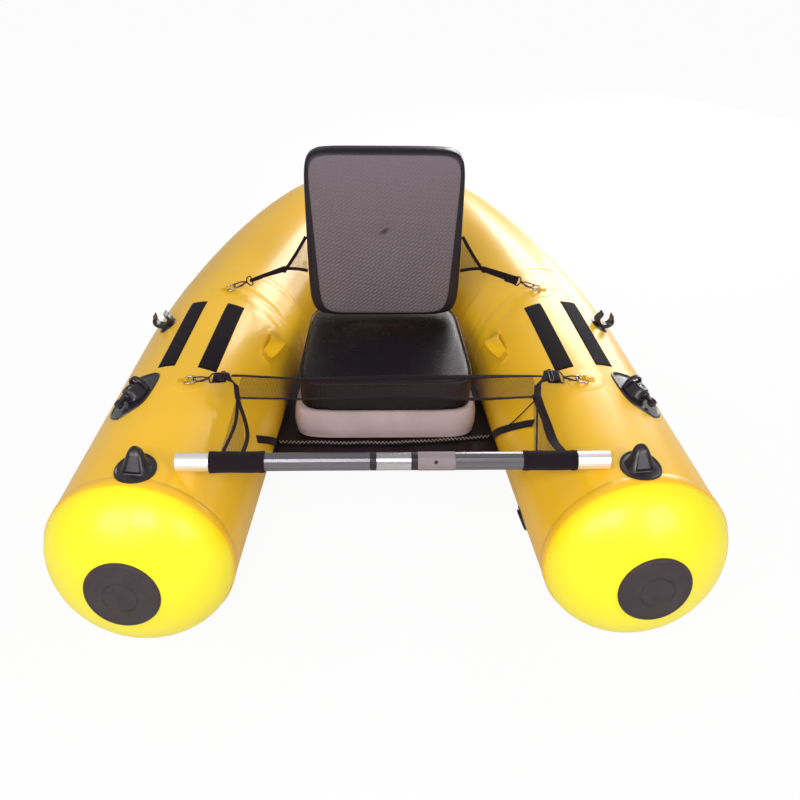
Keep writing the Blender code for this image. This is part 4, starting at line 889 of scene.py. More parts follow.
def makeValves():
    stem, deep, neck, reach = (valve[key] for key in ("stem", "deep", "neck", "cap"))
    low, high = neck + 0.0005, neck + 0.0005 + valve["capThick"]
    rim = [(1.0, -0.001), (1.0, 0.0008), (0.975, 0.0019), (0.94, 0.0024), (0.84, 0.0024), (0.815, 0.0004)]
    tube = [(0, -deep), (stem, -deep), (stem, neck), (stem - 0.001, neck + 0.0001), (0, neck + 0.0001)]
    lid = [(0, low, 0), (reach * 0.96, low, 0), (reach, low + 0.0005, 1), (reach, high - 0.0012, 1),
           (reach * 0.96, high - 0.0003, 1), (reach * 0.88, high, 0), (reach * 0.62, high, 0),
           (reach * 0.58, high - 0.0008, 0), (reach * 0.2, high - 0.0008, 0), (0, high - 0.0008, 0)]
    knob = [(0, high - 0.0012), (0.0015, high - 0.0012), (0.0015, high), (0, high)]
    for side in ("right", "left"):
        place = hullFrame(*valve[side], -0.0011)
        flange = hullMound((*valve[side], 0.0), oval(valve["flange"], valve["flange"]), rim)
        body = joined(flange, turned(tube, place))
        cap = joined(turned(lid, place, 144, valve["grips"], 0.0175, 1.0), turned(knob, place, 24))
        addPiece("valve_moulding_" + side, sided(body, side), ringPlastic, "valve_body_" + side)
        addPiece("valve_lid_" + side, sided(cap, side), ringPlastic, "valve_cap_" + side, "cap_" + side)


makeHolders()
makeOarlocks()
makeClips()
makeStrips()
makeLoops()
makeValves()
print("fittings made")


# D-rings and snap hooks

rings = {
    "front": {"place": (0.39515, -0.4252, 0.34232), "ahead": (-0.99619, 0, 0.08716),
              "spot": (0.323, 96.0, 0.0)},
    "rear": {"place": (0.35879, -0.04275, 0.34331), "ahead": (-0.94176, 0.22771, 0.24745),
             "spot": (0.708, 93.5, 0.0)},
    "patch": 0.036, "half": 0.0125, "deep": 0.020, "wire": 0.0020, "tabHalf": 0.0085, "tabSink": 0.0030,
    "tab": ((0.016, 0.0), (0.007, 0.0), (0.0035, 0.0006)),
}
hook = {"wire": 0.0015, "bend": 0.0050, "nose": 0.0375, "lower": 0.033, "upper": 0.034, "shank": 0.045,
        "shoulder": 0.050, "bar": 0.058, "frontHalves": {"right": 0.0205, "left": 0.0160}, "rearHalf": 0.0115}


def ringPlace(which):
    ahead = Vector(rings[which]["ahead"]).normalized()
    z = ahead.cross(up).cross(ahead).normalized()
    return frameOf(Vector(rings[which]["place"]), ahead.cross(z), ahead, z)


def makeRings():
    half, deep, radius = rings["half"], rings["deep"], rings["wire"] + 0.0010
    corner = half * 0.25
    outline = [(-half + corner, 0), (0, 0), (half - corner, 0), (half - corner * 0.2, corner * 0.3),
               (half, corner)]
    outline += [(half * cos(t), corner + (deep - corner) * sin(t) ** 0.7) for t in spread(0, pi, 16)[1:-1]]
    outline += [(-half, corner), (-half + corner * 0.2, corner * 0.3)]
    profile = [(1.0, -0.001), (1.0, 0.0007), (0.985, 0.0012), (0.95, 0.0013), (0.5, 0.0013)]
    for which in ("front", "rear"):
        place, centre, spot = ringPlace(which), Vector(rings[which]["place"]), rings[which]["spot"]
        patch = hullMound(spot, oval(rings["patch"], rings["patch"]), profile)
        addBoth("ring_patch_" + which, patch, pvcYellow, "d_ring_patch_" + which)
        # Webbing that is welded to the patch on both sides of the ring's bar and rounds it
        normal = hullFrame(*spot[:2]).to_3x3() @ up
        across = place.to_3x3() @ right
        level = normal.cross(across).normalized()
        first, last = ([centre + level * off * way + normal * (rise - rings["tabSink"])
                        for off, rise in rings["tab"]] for way in (-1, 1))
        over = [centre + (level * cos(pi * t) + normal * sin(pi * t)) * radius
                for t in (0.85, 0.65, 0.5, 0.35, 0.15)]
        tab = strap(curved(first + over + last[::-1], 3), across * rings["tabHalf"], 0.0014)
        addBoth("ring_tab_" + which, tab, yellowWebbing)
        path = curved([place @ Vector((x, y, 0)) for x, y in outline], 3, closed=True)
        ring = wire(path, rings["wire"], True, 14)
        addBoth("ring_wire_" + which, ring, brightMetal, "d_ring_" + which, "ring_" + which)


def hookWire(which, half, upright):
    # A snap hook of bent wire that ends in a long bar for the webbing
    place = ringPlace(which)
    thin, bend, nose, lower, shank, shoulder, end = (
        hook[key] for key in ("wire", "bend", "nose", "lower", "shank", "shoulder", "bar"))
    flat = [(nose, -bend * 0.1), (nose - thin, -bend * 0.72), (lower, -bend),
            *roundCorner(rings["deep"], 0, bend, -90, -270, 10),
            (hook["upper"], bend), (shank - thin * 2, thin), (shank, 0)]
    points = [Vector((0, y, z)) for y, z in flat]
    spots = ((shoulder, half), (end, half), (end, -half), (shoulder, -half), (shoulder - thin * 2, -0.0036))
    for y, off in spots:
        points.append(Vector((0, y, off)) if upright else Vector((off, y, 0)))
    path = [points[0]]
    for a, b, c in zip(points, points[1:], points[2:]):
        step = min((b - a).length, (c - b).length, 0.007) * 0.45
        path += eased(a, b, c, step, step * 0.22)
    path.append(points[-1])
    # The spring gate closes the mouth, and a swivel barrel sits on the shank
    gate = ((rings["deep"] + bend * 0.2, -bend), (lower - 0.003, -bend * 0.55), (nose + 0.002, -bend * 0.12))
    gate = curved([Vector((0, y, z)) for y, z in gate], 5)
    barrel = [(0, 0), (0.0026, 0), (0.0033, 0.0007), (0.0033, 0.0030), (0.0026, 0.0037), (0.0026, 0.0043),
              (0.0034, 0.0050), (0.0034, 0.0082), (0.0024, 0.0090), (0, 0.0090)]
    barrel = turned(barrel, moved(place, 0, shank - 0.0062, 0.0004, -pi / 2, "X"), 28)
    path, gate = ([place @ p for p in points] for points in (path, gate))
    return joined(wire(path, thin, sides=14), wire(gate, thin * 0.62), barrel)


def makeHooks():
    for side, half in hook["frontHalves"].items():
        mesh = sided(hookWire("front", half, False), side)
        addPiece("apron_snap_" + side, mesh, darkMetal, "apron_hook_" + side, slot="plastic_black")
    addBoth("stay_snap", hookWire("rear", hook["rearHalf"], True), darkMetal, "stay_hook")


makeRings()
makeHooks()
print("rings and hooks made")


# Apron across the front

apron = {
    "z": 0.34997, "side": 0.2850, "rear": 0.3180 + rowShift, "front": 0.2450 + rowShift, "rearHalf": 0.0060,
    "frontHalf": 0.0042, "thick": 0.0016, "legFoot": 0.2950, "wingFoot": 0.2520, "sag": 0.004,
    "netThick": 0.0007, "bandHalves": {"right": 0.0190, "left": 0.0140}, "barX": 0.3374, "barY": -0.4252,
    "cord": (0.2380, -0.3939, 0.1890),
    "fold": ((-0.022, 0, -0.0014), (-0.008, 0, -0.0026), (0.0022, 0, -0.0018), (0.0034, 0, 0.0004),
             (0.0012, 0, 0.0026), (-0.010, 0, 0.0032), (-0.026, -0.002, 0.0034)),
    "slider": {"at": (-0.0150, 0, 0.0044), "half": 0.0035, "over": 0.0016, "wire": 0.0012},
}
# Where each leg passes, in the fitted rows: x, y and lift. The left side's x is mirrored.
apronLegs = {
    "right": ({"half": 0.0085, "by": [(0.2890, 0.173, 0.001), (0.2925, 0.107, 0.001)], "foot": 0.2990,
               "twist": 0.9},
              {"half": 0.0018, "by": [(0.2720, 0.160, 0.0)], "foot": 0.2560, "twist": 0.0}),
    "left": ({"half": 0.0032, "by": [(0.2800, 0.160, 0.001)], "foot": 0.2890, "twist": 0.3},
             {"half": 0.0038, "by": [(0.2630, 0.170, 0.001), (0.2535, 0.120, 0.001)], "foot": 0.2545,
              "twist": -0.5}),
}
bar = {"y": 0.055 + rowShift, "shift": 0.007}
sleeveLow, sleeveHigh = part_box("bar_sleeve_right")
barZ = (sleeveLow.z + sleeveHigh.z) / 2
sleeveRadius = (sleeveHigh.z - sleeveLow.z) / 2


def apronHeight(x, y):
    # The apron hangs a little between its side straps
    share = min(1.0, abs(x) / apron["side"])
    return apron["z"] - apron["sag"] * (1 - share * share) - 0.0012 * sin(x * 23 + y * 17)


def makeApronStraps():
    for name, over, start in (("rear", 0.020, 0), ("front", -0.004, 2)):
        y, reach = apron[name], apron["side"] + over
        path, across = [], []
        for x in spread(-reach, reach, 60):
            path.append(Vector((x, y + 0.0022 * sin(x * 14 + start), apronHeight(x, y) + 0.0012)))
            tilt = 0.35 * sin(x * 11 + 1)
            across.append(Vector((0, cos(tilt), sin(tilt))) * apron[name + "Half"])
        band = strap(path, across, apron["thick"])
        addPiece("apron_band_" + name, band, blackWebbing, "apron_" + name + "_webbing")
    for side in ("right", "left"):
        band, slider = apronCorner(side)
        addPiece("apron_strap_" + side, sided(band, side), blackWebbing, "apron_side_strap_" + side)
        # A steel bar slider holds the fold of the band
        addPiece("apron_slider_" + side, sided(slider, side), darkMetal)


def apronCorner(side):
    # The wide band from the snap's bar, folded round it, narrows to the corner. From the end of the front
    # webbing two legs go on to the bar. All are drawn on the right.
    width, high, thick = apron["bandHalves"][side], apron["z"], apron["thick"]
    corner = Vector((apron["side"] + 0.008, apron["rear"] - 0.030, high + 0.0016))
    fork = Vector((apron["side"] - 0.001, apron["front"] - 0.006, high + 0.0022))
    barSpot = Vector((apron["barX"], apron["barY"], high - 0.0022))
    path = [barSpot + Vector(off) for off in apron["fold"]]
    path = curved([*path, corner + Vector((0.006, 0.010, 0.0012)), corner, corner.lerp(fork, 0.5), fork], 5)
    across = []
    for k in range(len(path)):
        share = max(0.0, (k - 30) / (len(path) - 31))
        half, lean = width * (1 - 0.60 * min(1.0, share * 1.6)), 1.25 * min(1.0, share * 1.5)
        across.append(Vector((sin(lean), cos(lean), 0.10 * share)) * half)
    meshes = [strap(path, across, thick)]
    for stops in apronLegs[side]:
        points = [Vector((x, y + rowShift, high + lift)) for x, y, lift in stops["by"]]
        points.append(Vector((stops["foot"], bar["y"] + sleeveRadius * 0.55, barZ + sleeveRadius * 0.85)))
        path = curved([fork + Vector((0, 0.010, 0.0006)), fork, *points], 8)
        turns = [stops["twist"] * bell((share - 0.45) / 0.22) for share in spread(0, 1, len(path) - 1)]
        meshes.append(strap(path, [Vector((cos(t), 0.08, sin(t))) * stops["half"] for t in turns], thick))
    if side == "right":
        # A thin cord from the fork down to the hem tape
        low = Vector(apron["cord"])
        path = curved([fork, fork.lerp(low, 0.5) + Vector((0, 0, -0.004)), low], 8)
        meshes.append(wire(path, 0.0013, sides=8))
    x, y = apron["slider"]["half"], width + apron["slider"]["over"]
    spot = barSpot + Vector(apron["slider"]["at"])
    corners = [spot + Vector((a * x, b * y, 0)) for a, b in ((-1, -1), (1, -1), (1, 1), (-1, 1))]
    path = []
    for k in range(4):
        path += eased(corners[k - 1], corners[k], corners[(k + 1) % 4], 0.0014, 0.0004)
    return joined(*meshes), wire(path, apron["slider"]["wire"], True, 12)


def makeApronNet():
    edge, foot = apron["side"] + 0.002, bar["y"] + sleeveRadius * 0.8
    rear, front = apron["rear"], apron["front"]
    rows = [[Vector((x, y, 0)) for x in spread(-edge, edge, 80)] for y in spread(front - 0.004, rear, 12)]
    meshes = [gridMesh(rows)]
    for side in (1, -1):
        rows = []
        for share in spread(0, 1, 24):
            inner = between(edge - 0.010, apron["wingFoot"], share)
            outer = between(edge, apron["legFoot"], share)
            y = between(front - 0.004, foot, share)
            rows.append([Vector((side * x, y, 0)) for x in spread(inner, outer, 6)])
        meshes.append(gridMesh(rows))
    flatArea = 2 * edge * (rear + 0.004 - front)
    flatArea += abs(front - 0.004 - foot) * (0.010 + apron["legFoot"] - apron["wingFoot"])
    mesh = joined(*meshes)
    for vertex in mesh.vertices:
        x, y, _ = vertex.co
        low = apronHeight(x, y) - 0.0012
        if y < front:
            low = between(low, barZ + sleeveRadius * 0.62, (front - y) / (front - foot))
        vertex.co.z = low + 0.0009 * sin(x * 61) * sin(y * 40 + x * 9)
    net = addPiece("apron_net", thickened(mesh, apron["netThick"], 0.0), blackNet, "apron_mesh")


wrap = {"inner": 0.2245, "outer": 0.3195, "wall": 0.0014, "ease": 0.0006, "stitchRise": 0.0006}


def makeWraps():
    # Fabric sleeves on the bar, either side of its middle: hemmed ends, a seam below and slight puckers
    for side, way in (("right", 1), ("left", -1)):
        rows = [wrapRing(way, share, 56, True) for share in spread(0, 1, 48)]
        stitches = [wire(wrapRing(way, share, 64, False), 0.0004, True, 6) for share in (0.075, 0.925)]
        skin = thickened(gridMesh(rows, around=True), wrap["wall"])
        piece = addPiece("bar_wrap_" + side, skin, blackWebbing, "bar_sleeve_" + side)
        addPiece("wrap_stitch_" + side, joined(*stitches), blackWebbing)


def wrapRing(way, share, count, skin):
    # One ring of a sleeve's skin, or of its stitching
    x = bar["shift"] + way * between(wrap["inner"], wrap["outer"], share)
    hem = 1 if min(share, 1 - share) < 0.085 else 0
    ring = []
    for t in turnsOf(count):
        pucker = wrap["ease"] * sin(t * 3 + x * 95) * sin(pi * share)
        rise = (pucker - wrap["ease"]) * 0.5 + 0.0009 * bell((t - pi * 1.5) / 0.16) + hem * 0.0004
        radius = sleeveRadius + (rise if skin else wrap["stitchRise"])
        ring.append(Vector((x, bar["y"] + radius * cos(t), barZ + radius * sin(t))))
    return ring


makeApronStraps()
makeWraps()
makeApronNet()
print("apron made")


# Spreader bar and chamber wall: the frame's own nodes, with better finishes

for node, finish in (("bar_left_tube", barMetal), ("bar_right_tube", barMetal),
                     ("bar_middle_sleeve", middleMetal), ("bar_coupler", ringPlastic),
                     ("bar_collar", collarPlastic), ("bar_button", ringPlastic), ("chamber_baffle", pvcYellow)):
    nodes[node].data.materials.clear()
    nodes[node].data.materials.append(finish)
print("bar finished")


# Floor sheet and its stitched tape

floor = {"front": 0.360, "rear": 0.800, "edge": 200.0, "flange": 209.0, "lift": 0.0008, "thick": 0.0010,
         "steps": 34, "columns": 28}


def floorAlong(y):
    # How far along the tube its lower inboard side reaches this y
    low, high = 0.0, halfHull
    for _ in range(40):
        middle = (low + high) / 2
        low, high = (middle, high) if hullPoint(middle, floor["edge"]).y < y else (low, middle)
    return low


def makeFloor():
    rows = []
    for y in spread(floor["front"] + rowShift, floor["rear"] + rowShift, floor["steps"]):
        along = floorAlong(y)
        edge = hullPoint(along, floor["edge"], floor["lift"])
        flange = [hullPoint(along, floor["flange"] - 3 * k, floor["lift"]) for k in range(3)]
        sheet = []
        for share in spread(0, 1, floor["columns"]):
            x, swell = edge.x * (1 - 2 * share), sin(pi * share)
            rise = 0.0008 * sin(x * 52 + y * 9) * swell - 0.0022 * swell ** 0.5
            sheet.append(Vector((x, edge.y, edge.z + rise)))
        rows.append(flange + sheet + [mirrorX @ p for p in reversed(flange)])
    sheet = addPiece("floor_cloth", thickened(gridMesh(rows), floor["thick"], 1.0), floorVinyl, "floor_sheet")


tape = {"y": 0.421, "half": 0.0080, "thick": 0.0012, "tops": {"right": 142.0, "left": 158.0}, "lift": 0.0018,
        "drift": {"right": 0.0031, "left": 0.0036}, "stitch": 0.0042,
        "bows": ((-0.206, 0.0), (-0.078, -0.004), (0.03, -0.003), (0.143, 0.007), (0.21, 0.016))}


def tapeSpot(x, edge):
    # The tape snakes a little over the floor sheet
    bow = float(np.interp(x, *zip(*tape["bows"])))
    return Vector((x, edge.y + bow, edge.z + 0.0012 + 0.0014 * sin(x * 33) ** 2))


def tapeTail(side, along):
    # From the floor up the tube's flank, slanting forwards
    path, across, drift, angle = [], [], tape["drift"][side], floor["edge"]
    while angle > tape["tops"][side]:
        angle -= 3
        here = along - (floor["edge"] - angle) * drift
        rise = 0.004 * sin((floor["edge"] - angle) / 42 * pi) ** 2
        path.append(hullPoint(here, angle, tape["lift"] + rise))
        ahead = path[-1] - hullPoint(here + 3 * drift, angle + 3, tape["lift"])
        normal = hullFrame(here, angle).to_3x3() @ up
        across.append(normal.cross(ahead).normalized() * -tape["half"])
    if side == "left":
        path, across = ([mirrorX @ v for v in reversed(row)] for row in (path, across))
    return path, across


def makeTape():
    edge = hullPoint(floorAlong(tape["y"] + rowShift), floor["edge"], tape["lift"])
    reach = edge.x - 0.008
    level = [tapeSpot(x, edge) for x in spread(-reach, reach, 48)]
    (leftPath, leftAcross), (rightPath, rightAcross) = (
        tapeTail(side, floorAlong(spot.y)) for side, spot in (("left", level[0]), ("right", level[-1])))
    across = leftAcross + [Vector((0, tape["half"], 0))] * len(level) + rightAcross
    mesh = strap(leftPath + level + rightPath, across, tape["thick"])
    addPiece("floor_hem", mesh, blackWebbing, "floor_tape")
    # Zigzag stitching along it
    points, x, side = [], -reach, 1
    while x < reach:
        points.append(tapeSpot(x, edge) + Vector((0, side * tape["half"] * 0.55, tape["thick"] / 2 + 0.0004)))
        side = -side
        x += tape["stitch"]
    addPiece("hem_stitch", wire(points, 0.0009, sides=6), tapeStitch)


makeFloor()
makeTape()
print("floor made")


# Seat box, seat cushion and backrest

box = {"front": 0.426, "rear": 0.780, "frontHalf": 0.207, "rearHalf": 0.170, "corner": 0.045}
cushion = {"front": 0.420, "rear": 0.765, "frontHalf": 0.193, "rearHalf": 0.171, "corner": 0.040,
           "voxel": 0.005, "pressure": 9.0, "cap": 0.006, "shrink": 0.004}
back = {"high": 0.379, "thick": 0.050, "half": 0.186, "foot": 0.175, "corner": 0.036, "lean": radians(12),
        "y": 0.690 + rowShift, "voxel": 0.005, "pressure": 8.0, "cap": 0.007, "shrink": 0.004,
        "panel": (0.012, 0.364, 0.145, 0.1735, 0.030), "panelRise": 0.0018,
        "panelGaps": (0.0, 0.0006, 0.0016, 0.0032, 0.006, 0.012, 0.022, 0.036, 0.052, 0.072, 0.095, 0.12,
                      0.142)}
clothFacts = {"use_pressure": True, "vertex_group_mass": "held", "quality": 4, "tension_stiffness": 40,
              "compression_stiffness": 40, "bending_stiffness": 4}


def padSize(facts):
    return (facts["front"] + rowShift, facts["rear"] + rowShift, facts["frontHalf"], facts["rearHalf"],
            facts["corner"])


def padOutline(front, rear, frontHalf, rearHalf, corner, inset, count=96):
    # A rounded outline that narrows towards the rear, drawn in by the inset
    middle, reach, mean = (front + rear) / 2, (rear - front) / 2, (frontHalf + rearHalf) / 2
    return [(x * (mean + y * (rearHalf - frontHalf) / 2 - inset), middle + y * (reach - inset))
            for x, y in softRing(1.1 * corner / mean, count)]


def padMesh(size, levels, count=96):
    # Levels are (inset, height). The last and first close on the middle.
    middle = (size[0] + size[1]) / 2
    rings = [[Vector((x, y, height)) for x, y in padOutline(*size, inset, count)] for inset, height in levels]
    return closedShell(rings, *(Vector((0, middle, levels[k][1])) for k in (0, -1)))


def puffed(mesh, facts, held):
    # Cloth under pressure swells the pad between the places that held(point) keeps still
    item = linked(changed(mesh, ("REMESH", {"mode": "VOXEL", "voxel_size": facts["voxel"]})))
    rest = [v.co.copy() for v in item.data.vertices]
    group = item.vertex_groups.new(name="held")
    for v in item.data.vertices:
        group.add([v.index], held(v.co), "REPLACE")
    cloth = item.modifiers.new("cloth", "CLOTH").settings
    for key, value in clothFacts.items():
        setattr(cloth, key, value)
    cloth.uniform_pressure_force = facts["pressure"]
    cloth.effector_weights.gravity = 0
    for number in range(1, 21):
        scene.frame_set(number)
    swollen = applied(item)
    scene.frame_set(1)
    item.modifiers.clear()
    item.data = swollen
    most = 0.0
    for v, before in zip(item.data.vertices, rest):
        move = v.co - before
        most = max(most, move.length)
        if move.length > facts["cap"]:
            v.co = before + move * (facts["cap"] / move.length)
    print("pad swelled by", round(most * 1000, 1), "mm before its limit")
    made = changed(item.data, ("SMOOTH", {"factor": 0.5, "iterations": 9}), subdivide)
    bpy.data.objects.remove(item, do_unlink=True)
    return made


def makeSeatBox():
    low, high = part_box("seat_box")
    tall = high.z - low.z
    r = box["corner"] / 3
    levels = [(0.10, 0.0), (r * 1.1, 0.0), (r * 0.45, 0.03), (r * 0.2, 0.09), (r * 0.28, 0.14),
              (r * 0.18, 0.19), (0.0005, 0.32), (0.0, 0.50), (0.0005, 0.64), (r * 0.10, 0.78), (r * 0.26, 0.87),
              (r * 0.34, 0.90), (r * 0.36, 0.94), (r * 0.62, 0.98), (r * 1.3, 1.0), (0.06, 1.0), (0.12, 1.0)]
    mesh = padMesh(padSize(box), [(inset, low.z + share * tall) for inset, share in levels], 160)
    for v in mesh.vertices:
        share = (v.co.z - low.z) / tall
        if 0.1 < share < 0.92 and v.co.y < box["front"] + rowShift + 0.02:
            v.co.y += 0.0009 * sin(v.co.x * 37 + 1) * sin(pi * share)
    item = addPiece("seat_box_skin", changed(mesh, subdivide), boxSkin, "seat_box", sharp=60)


def makeCushion():
    low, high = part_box("seat_cushion")
    tall = high.z - low.z
    inset, r = cushion["shrink"], cushion["corner"] / 3
    levels = [(0.10, 0.0), (inset + r * 0.8, 0.0), (inset, 0.06), (inset, 0.5), (inset, 0.86),
              (inset + r * 0.25, 0.92), (inset + r * 0.9, 0.94), (0.10, 0.95)]
    mesh = padMesh(padSize(cushion), [(gap, low.z + share * tall) for gap, share in levels])
    seamZ = low.z + 0.90 * tall

    def held(point):
        if point.z < low.z + 0.10 * tall:
            return 1.0
        return 0.85 if abs(point.z - seamZ) < 0.004 else 0.0

    mesh = puffed(mesh, cushion, held)
    item = addPiece("cushion_cover", mesh, cushionVinyl, "seat_cushion", sharp=70)
    outline = padOutline(*padSize(cushion), inset + 0.0005, 120)
    piping = wire([Vector((x, y, seamZ)) for x, y in outline], 0.0019, True, 12)
    addPiece("cushion_piping", piping, edgeVinyl)


def stood():
    # From a flat pad with its face up to the leaned backrest
    shear = Matrix.Identity(4)
    shear[1][2] = tan(back["lean"])
    place = Matrix.Translation((0, back["y"] + back["thick"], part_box("backrest")[0].z))
    return place @ shear @ Matrix.Rotation(pi / 2, 4, "X")


def makeBackrest():
    place, h, inset, r = stood(), back["thick"], back["shrink"], back["corner"] / 3
    levels = [(0.10, 0.004), (inset + r * 1.2, 0.004), (inset, h * 0.16), (inset, h * 0.5), (inset, h * 0.80),
              (inset + r * 0.5, h * 0.88), (inset + r * 1.2, h * 0.90), (0.10, h * 0.92)]
    mesh = padMesh((0, *(back[key] for key in ("high", "foot", "half", "corner"))), levels)

    def held(point):
        if point.z < h * 0.14:
            return 0.7
        return 0.8 if abs(point.z - h * 0.84) < 0.003 else 0.0

    mesh = puffed(mesh, back, held)
    for v in mesh.vertices:
        if v.co.z > h * 0.8:
            v.co.z -= 0.0040 * bell(hypot(v.co.x, v.co.y - back["high"] / 2) / 0.022)
    mesh.transform(place)
    item = addPiece("backrest_cover", mesh, edgeVinyl, "backrest", "backrest_pad", sharp=70)
    # The textured front panel is laid over the cover's face and sewn round its edge
    tree = bmesh.new()
    tree.from_mesh(mesh)
    surface = BVHTree.FromBMesh(tree)
    tree.free()
    ahead = Vector((0, -1, 0))

    def frontOf(x, y):
        hit = surface.ray_cast(place @ Vector((x, y, h + 0.05)), -ahead)[0]
        return hit if hit is not None else place @ Vector((x, y, h * 0.9))

    rows = []
    for gap in back["panelGaps"]:
        lift = back["panelRise"] * min(1.0, gap / 0.0045) ** 0.5 + 0.0003
        rows.append([frontOf(x, y) + ahead * lift for x, y in padOutline(*back["panel"], gap, 120)])
    centre = frontOf(0.0, sum(back["panel"][:2]) / 2)
    rows.insert(0, [p + Vector((0, 0.003, 0)) for p in rows[0]])
    panel = closedShell(rows, centre + Vector((0, 0.006, 0)), centre + ahead * (back["panelRise"] + 0.0003))
    item = addPiece("backrest_panel", panel, panelVinyl, body="backrest_pad", sharp=50)


makeSeatBox()
makeCushion()
makeBackrest()
print("seat made")


# Backrest stays

stay = {"high": 0.453, "low": 0.367, "forkShare": 0.73, "forkZ": 0.378, "legHalf": 0.0040,
        "halves": {"right": (0.0095, 0.0070), "left": (0.0032, 0.0078)},
        "thick": 0.0016, "fixedZ": 0.349, "weltShare": 0.70, "keep": 0.35}


def makeStays():
    spot = Vector(rings["rear"]["place"])
    barSpot = ringPlace("rear") @ Vector((0, hook["bar"], 0))
    anchorY = (back["y"] + back["thick"] * stay["weltShare"]
               + (stay["low"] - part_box("backrest")[0].z) * tan(back["lean"]))
    lowTip = Vector((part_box("stay_mesh_right")[0].x - 0.001, anchorY, stay["low"]))
    level = Vector((lowTip.x - spot.x, lowTip.y - spot.y, 0))
    highTip = spot + level * ((spot.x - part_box("backrest_stay_right")[0].x) / -level.x)
    highTip.z = stay["high"]
    fork = spot + level * stay["forkShare"]
    fork.z = stay["forkZ"]
    normal = level.normalized().cross(up)
    ahead = (fork - barSpot).normalized()
    band = curved([barSpot - normal * 0.0026 + (fork - barSpot) * 0.30, barSpot - normal * 0.0026,
                   barSpot - ahead * 0.0032, barSpot + normal * 0.0026,
                   barSpot.lerp(fork, 0.5) + normal * 0.0022, fork + normal * 0.0012], 6)
    rise = ahead.cross(normal).normalized()
    shares = [max(0.0, (k - 18) / (len(band) - 19)) for k in range(len(band))]
    legs = []
    for tip, bow in ((highTip, -0.003), (lowTip, 0.002)):
        path = curved([fork - (tip - fork) * 0.12, fork.lerp(tip, 0.5) + up * bow, tip], 8)
        across = (tip - fork).normalized().cross(normal).normalized() * stay["legHalf"]
        legs.append(strap(path, across, stay["thick"]))
    straps = []
    for side, halves in stay["halves"].items():
        fixed = strap(band, [rise * between(*halves, share) for share in shares], stay["thick"])
        whole = sided(joined(fixed, *legs), side)
        straps.append(addPiece("stay_strap_" + side, whole, blackWebbing, "backrest_stay_" + side))
    rows = []
    for share in spread(0, 1, 12):
        a, b, bow = fork.lerp(highTip, share), fork.lerp(lowTip, share), 0.003 * sin(pi * share)
        rows.append([a.lerp(b, t) + normal * (bow * sin(pi * t) - 0.0009) for t in spread(0, 1, 8)])
    net = thickened(gridMesh(rows), 0.0007, 0.0)
    for piece, strapPiece in zip(addBoth("stay_net", net, blackNet, "stay_mesh"), straps):
        for soft in (piece, strapPiece):
            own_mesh(soft)


makeStays()
print("stays made")


# Camera, lamps and floor

view = {"focalPixels": 950, "photoPixels": 800, "sensor": 36, "place": (-0.0369, -1.9944, 1.3655),
        "pitch": 34.3153, "yaw": 2.2788, "roll": 1.096}


def makeCamera():
    pitch, yaw, roll = (radians(view[key]) for key in ("pitch", "yaw", "roll"))
    forward = Vector((sin(yaw) * cos(pitch), cos(yaw) * cos(pitch), -sin(pitch)))
    level = forward.cross(up).normalized()
    top = level.cross(forward)
    data = bpy.data.cameras.new("camera")
    data.sensor_width = view["sensor"]
    data.lens = view["focalPixels"] * view["sensor"] / view["photoPixels"]
    scene.camera = linked(data, "camera")
    scene.camera.matrix_world = frameOf(Vector(view["place"]), level * cos(roll) + top * sin(roll),
                                        top * cos(roll) - level * sin(roll), -forward)


# Two bright windows stand behind the boat to the right, and three lamps in front: place, size and power
lamps = {"window": ((0.85, 1.95, 1.35), 0.9, 28), "low_window": ((1.75, 2.30, 0.60), 1.0, 19),
         "front_right": ((1.5, -2.4, 1.60), 1.1, 21), "front_left": ((-1.6, -2.4, 1.65), 1.1, 20),
         "front": ((-0.40, -2.45, 1.95), 0.9, 24)}
sky = {"light": 0.46, "seen": 1.0, "gloss": 0.10}
ground = {"half": 6, "z": -0.0006, "shade": 0.72, "glow": 0.95}


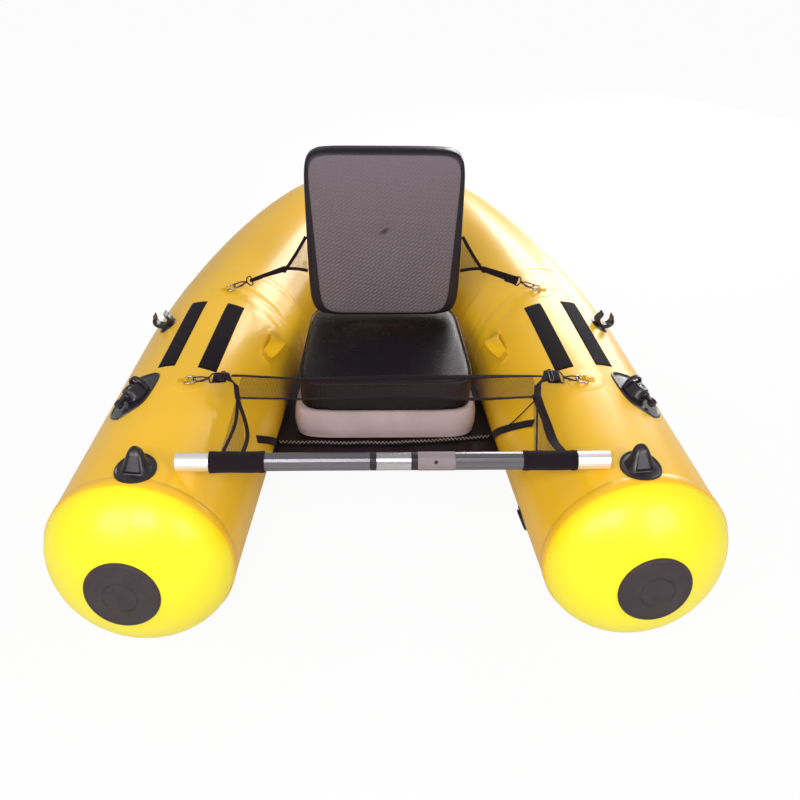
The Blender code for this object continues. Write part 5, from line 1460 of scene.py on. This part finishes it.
def makeLamps():
    for name, (place, size, power) in lamps.items():
        data = bpy.data.lights.new(name, "AREA")
        data.size = size
        data.energy = power
        lamp = linked(data, name)
        lamp.location = place
        lamp.rotation_euler = (Vector((0, 0, 0.2)) - lamp.location).to_track_quat("-Z", "Y").to_euler()


def clearedTree(data):
    data.use_nodes = True
    data.node_tree.nodes.clear()
    return data.node_tree


def seenRay(tree):
    # 1 where the camera sees this straight or through netting, and a share where it shows in a gloss
    path = addNode(tree, "LightPath").outputs
    gloss = {0: path["Is Glossy Ray"], 1: sky["gloss"]}
    gloss = addNode(tree, "Math", gloss, operation="MULTIPLY").outputs[0]
    total = path["Is Camera Ray"]
    for other in (gloss, path["Is Transmission Ray"]):
        total = addNode(tree, "Math", {0: total, 1: other}, operation="MAXIMUM").outputs[0]
    return total


def makeSky():
    scene.world = bpy.data.worlds.new("sky")
    tree = clearedTree(scene.world)
    light, seen = (addNode(tree, "Background", {"Color": (1, 1, 1, 1), "Strength": sky[key]}).outputs[0]
                   for key in ("light", "seen"))
    both = addNode(tree, "MixShader", {0: seenRay(tree), 1: light, 2: seen})
    addNode(tree, "OutputWorld", {"Surface": both.outputs[0]})


def makeGround():
    half, z = ground["half"], ground["z"]
    mesh = bpy.data.meshes.new("ground")
    corners = [(-half, -half, z), (half, -half, z), (half, half, z), (-half, half, z)]
    mesh.from_pydata(corners, [], [(0, 1, 2, 3)])
    material = bpy.data.materials.new("ground")
    tree = clearedTree(material)
    matt = addNode(tree, "BsdfDiffuse", {"Color": (*[ground["shade"]] * 3, 1)}).outputs[0]
    glow = addNode(tree, "Emission").outputs[0]
    share = addNode(tree, "Math", {0: seenRay(tree), 1: ground["glow"]}, operation="MULTIPLY").outputs[0]
    both = addNode(tree, "MixShader", {0: share, 1: matt, 2: glow})
    addNode(tree, "OutputMaterial", {"Surface": both.outputs[0]})
    mesh.materials.append(material)
    linked(mesh, "ground")


makeCamera()
makeLamps()
makeSky()
makeGround()
scene.view_settings.view_transform = "Standard"
print("camera, lamps and ground made")
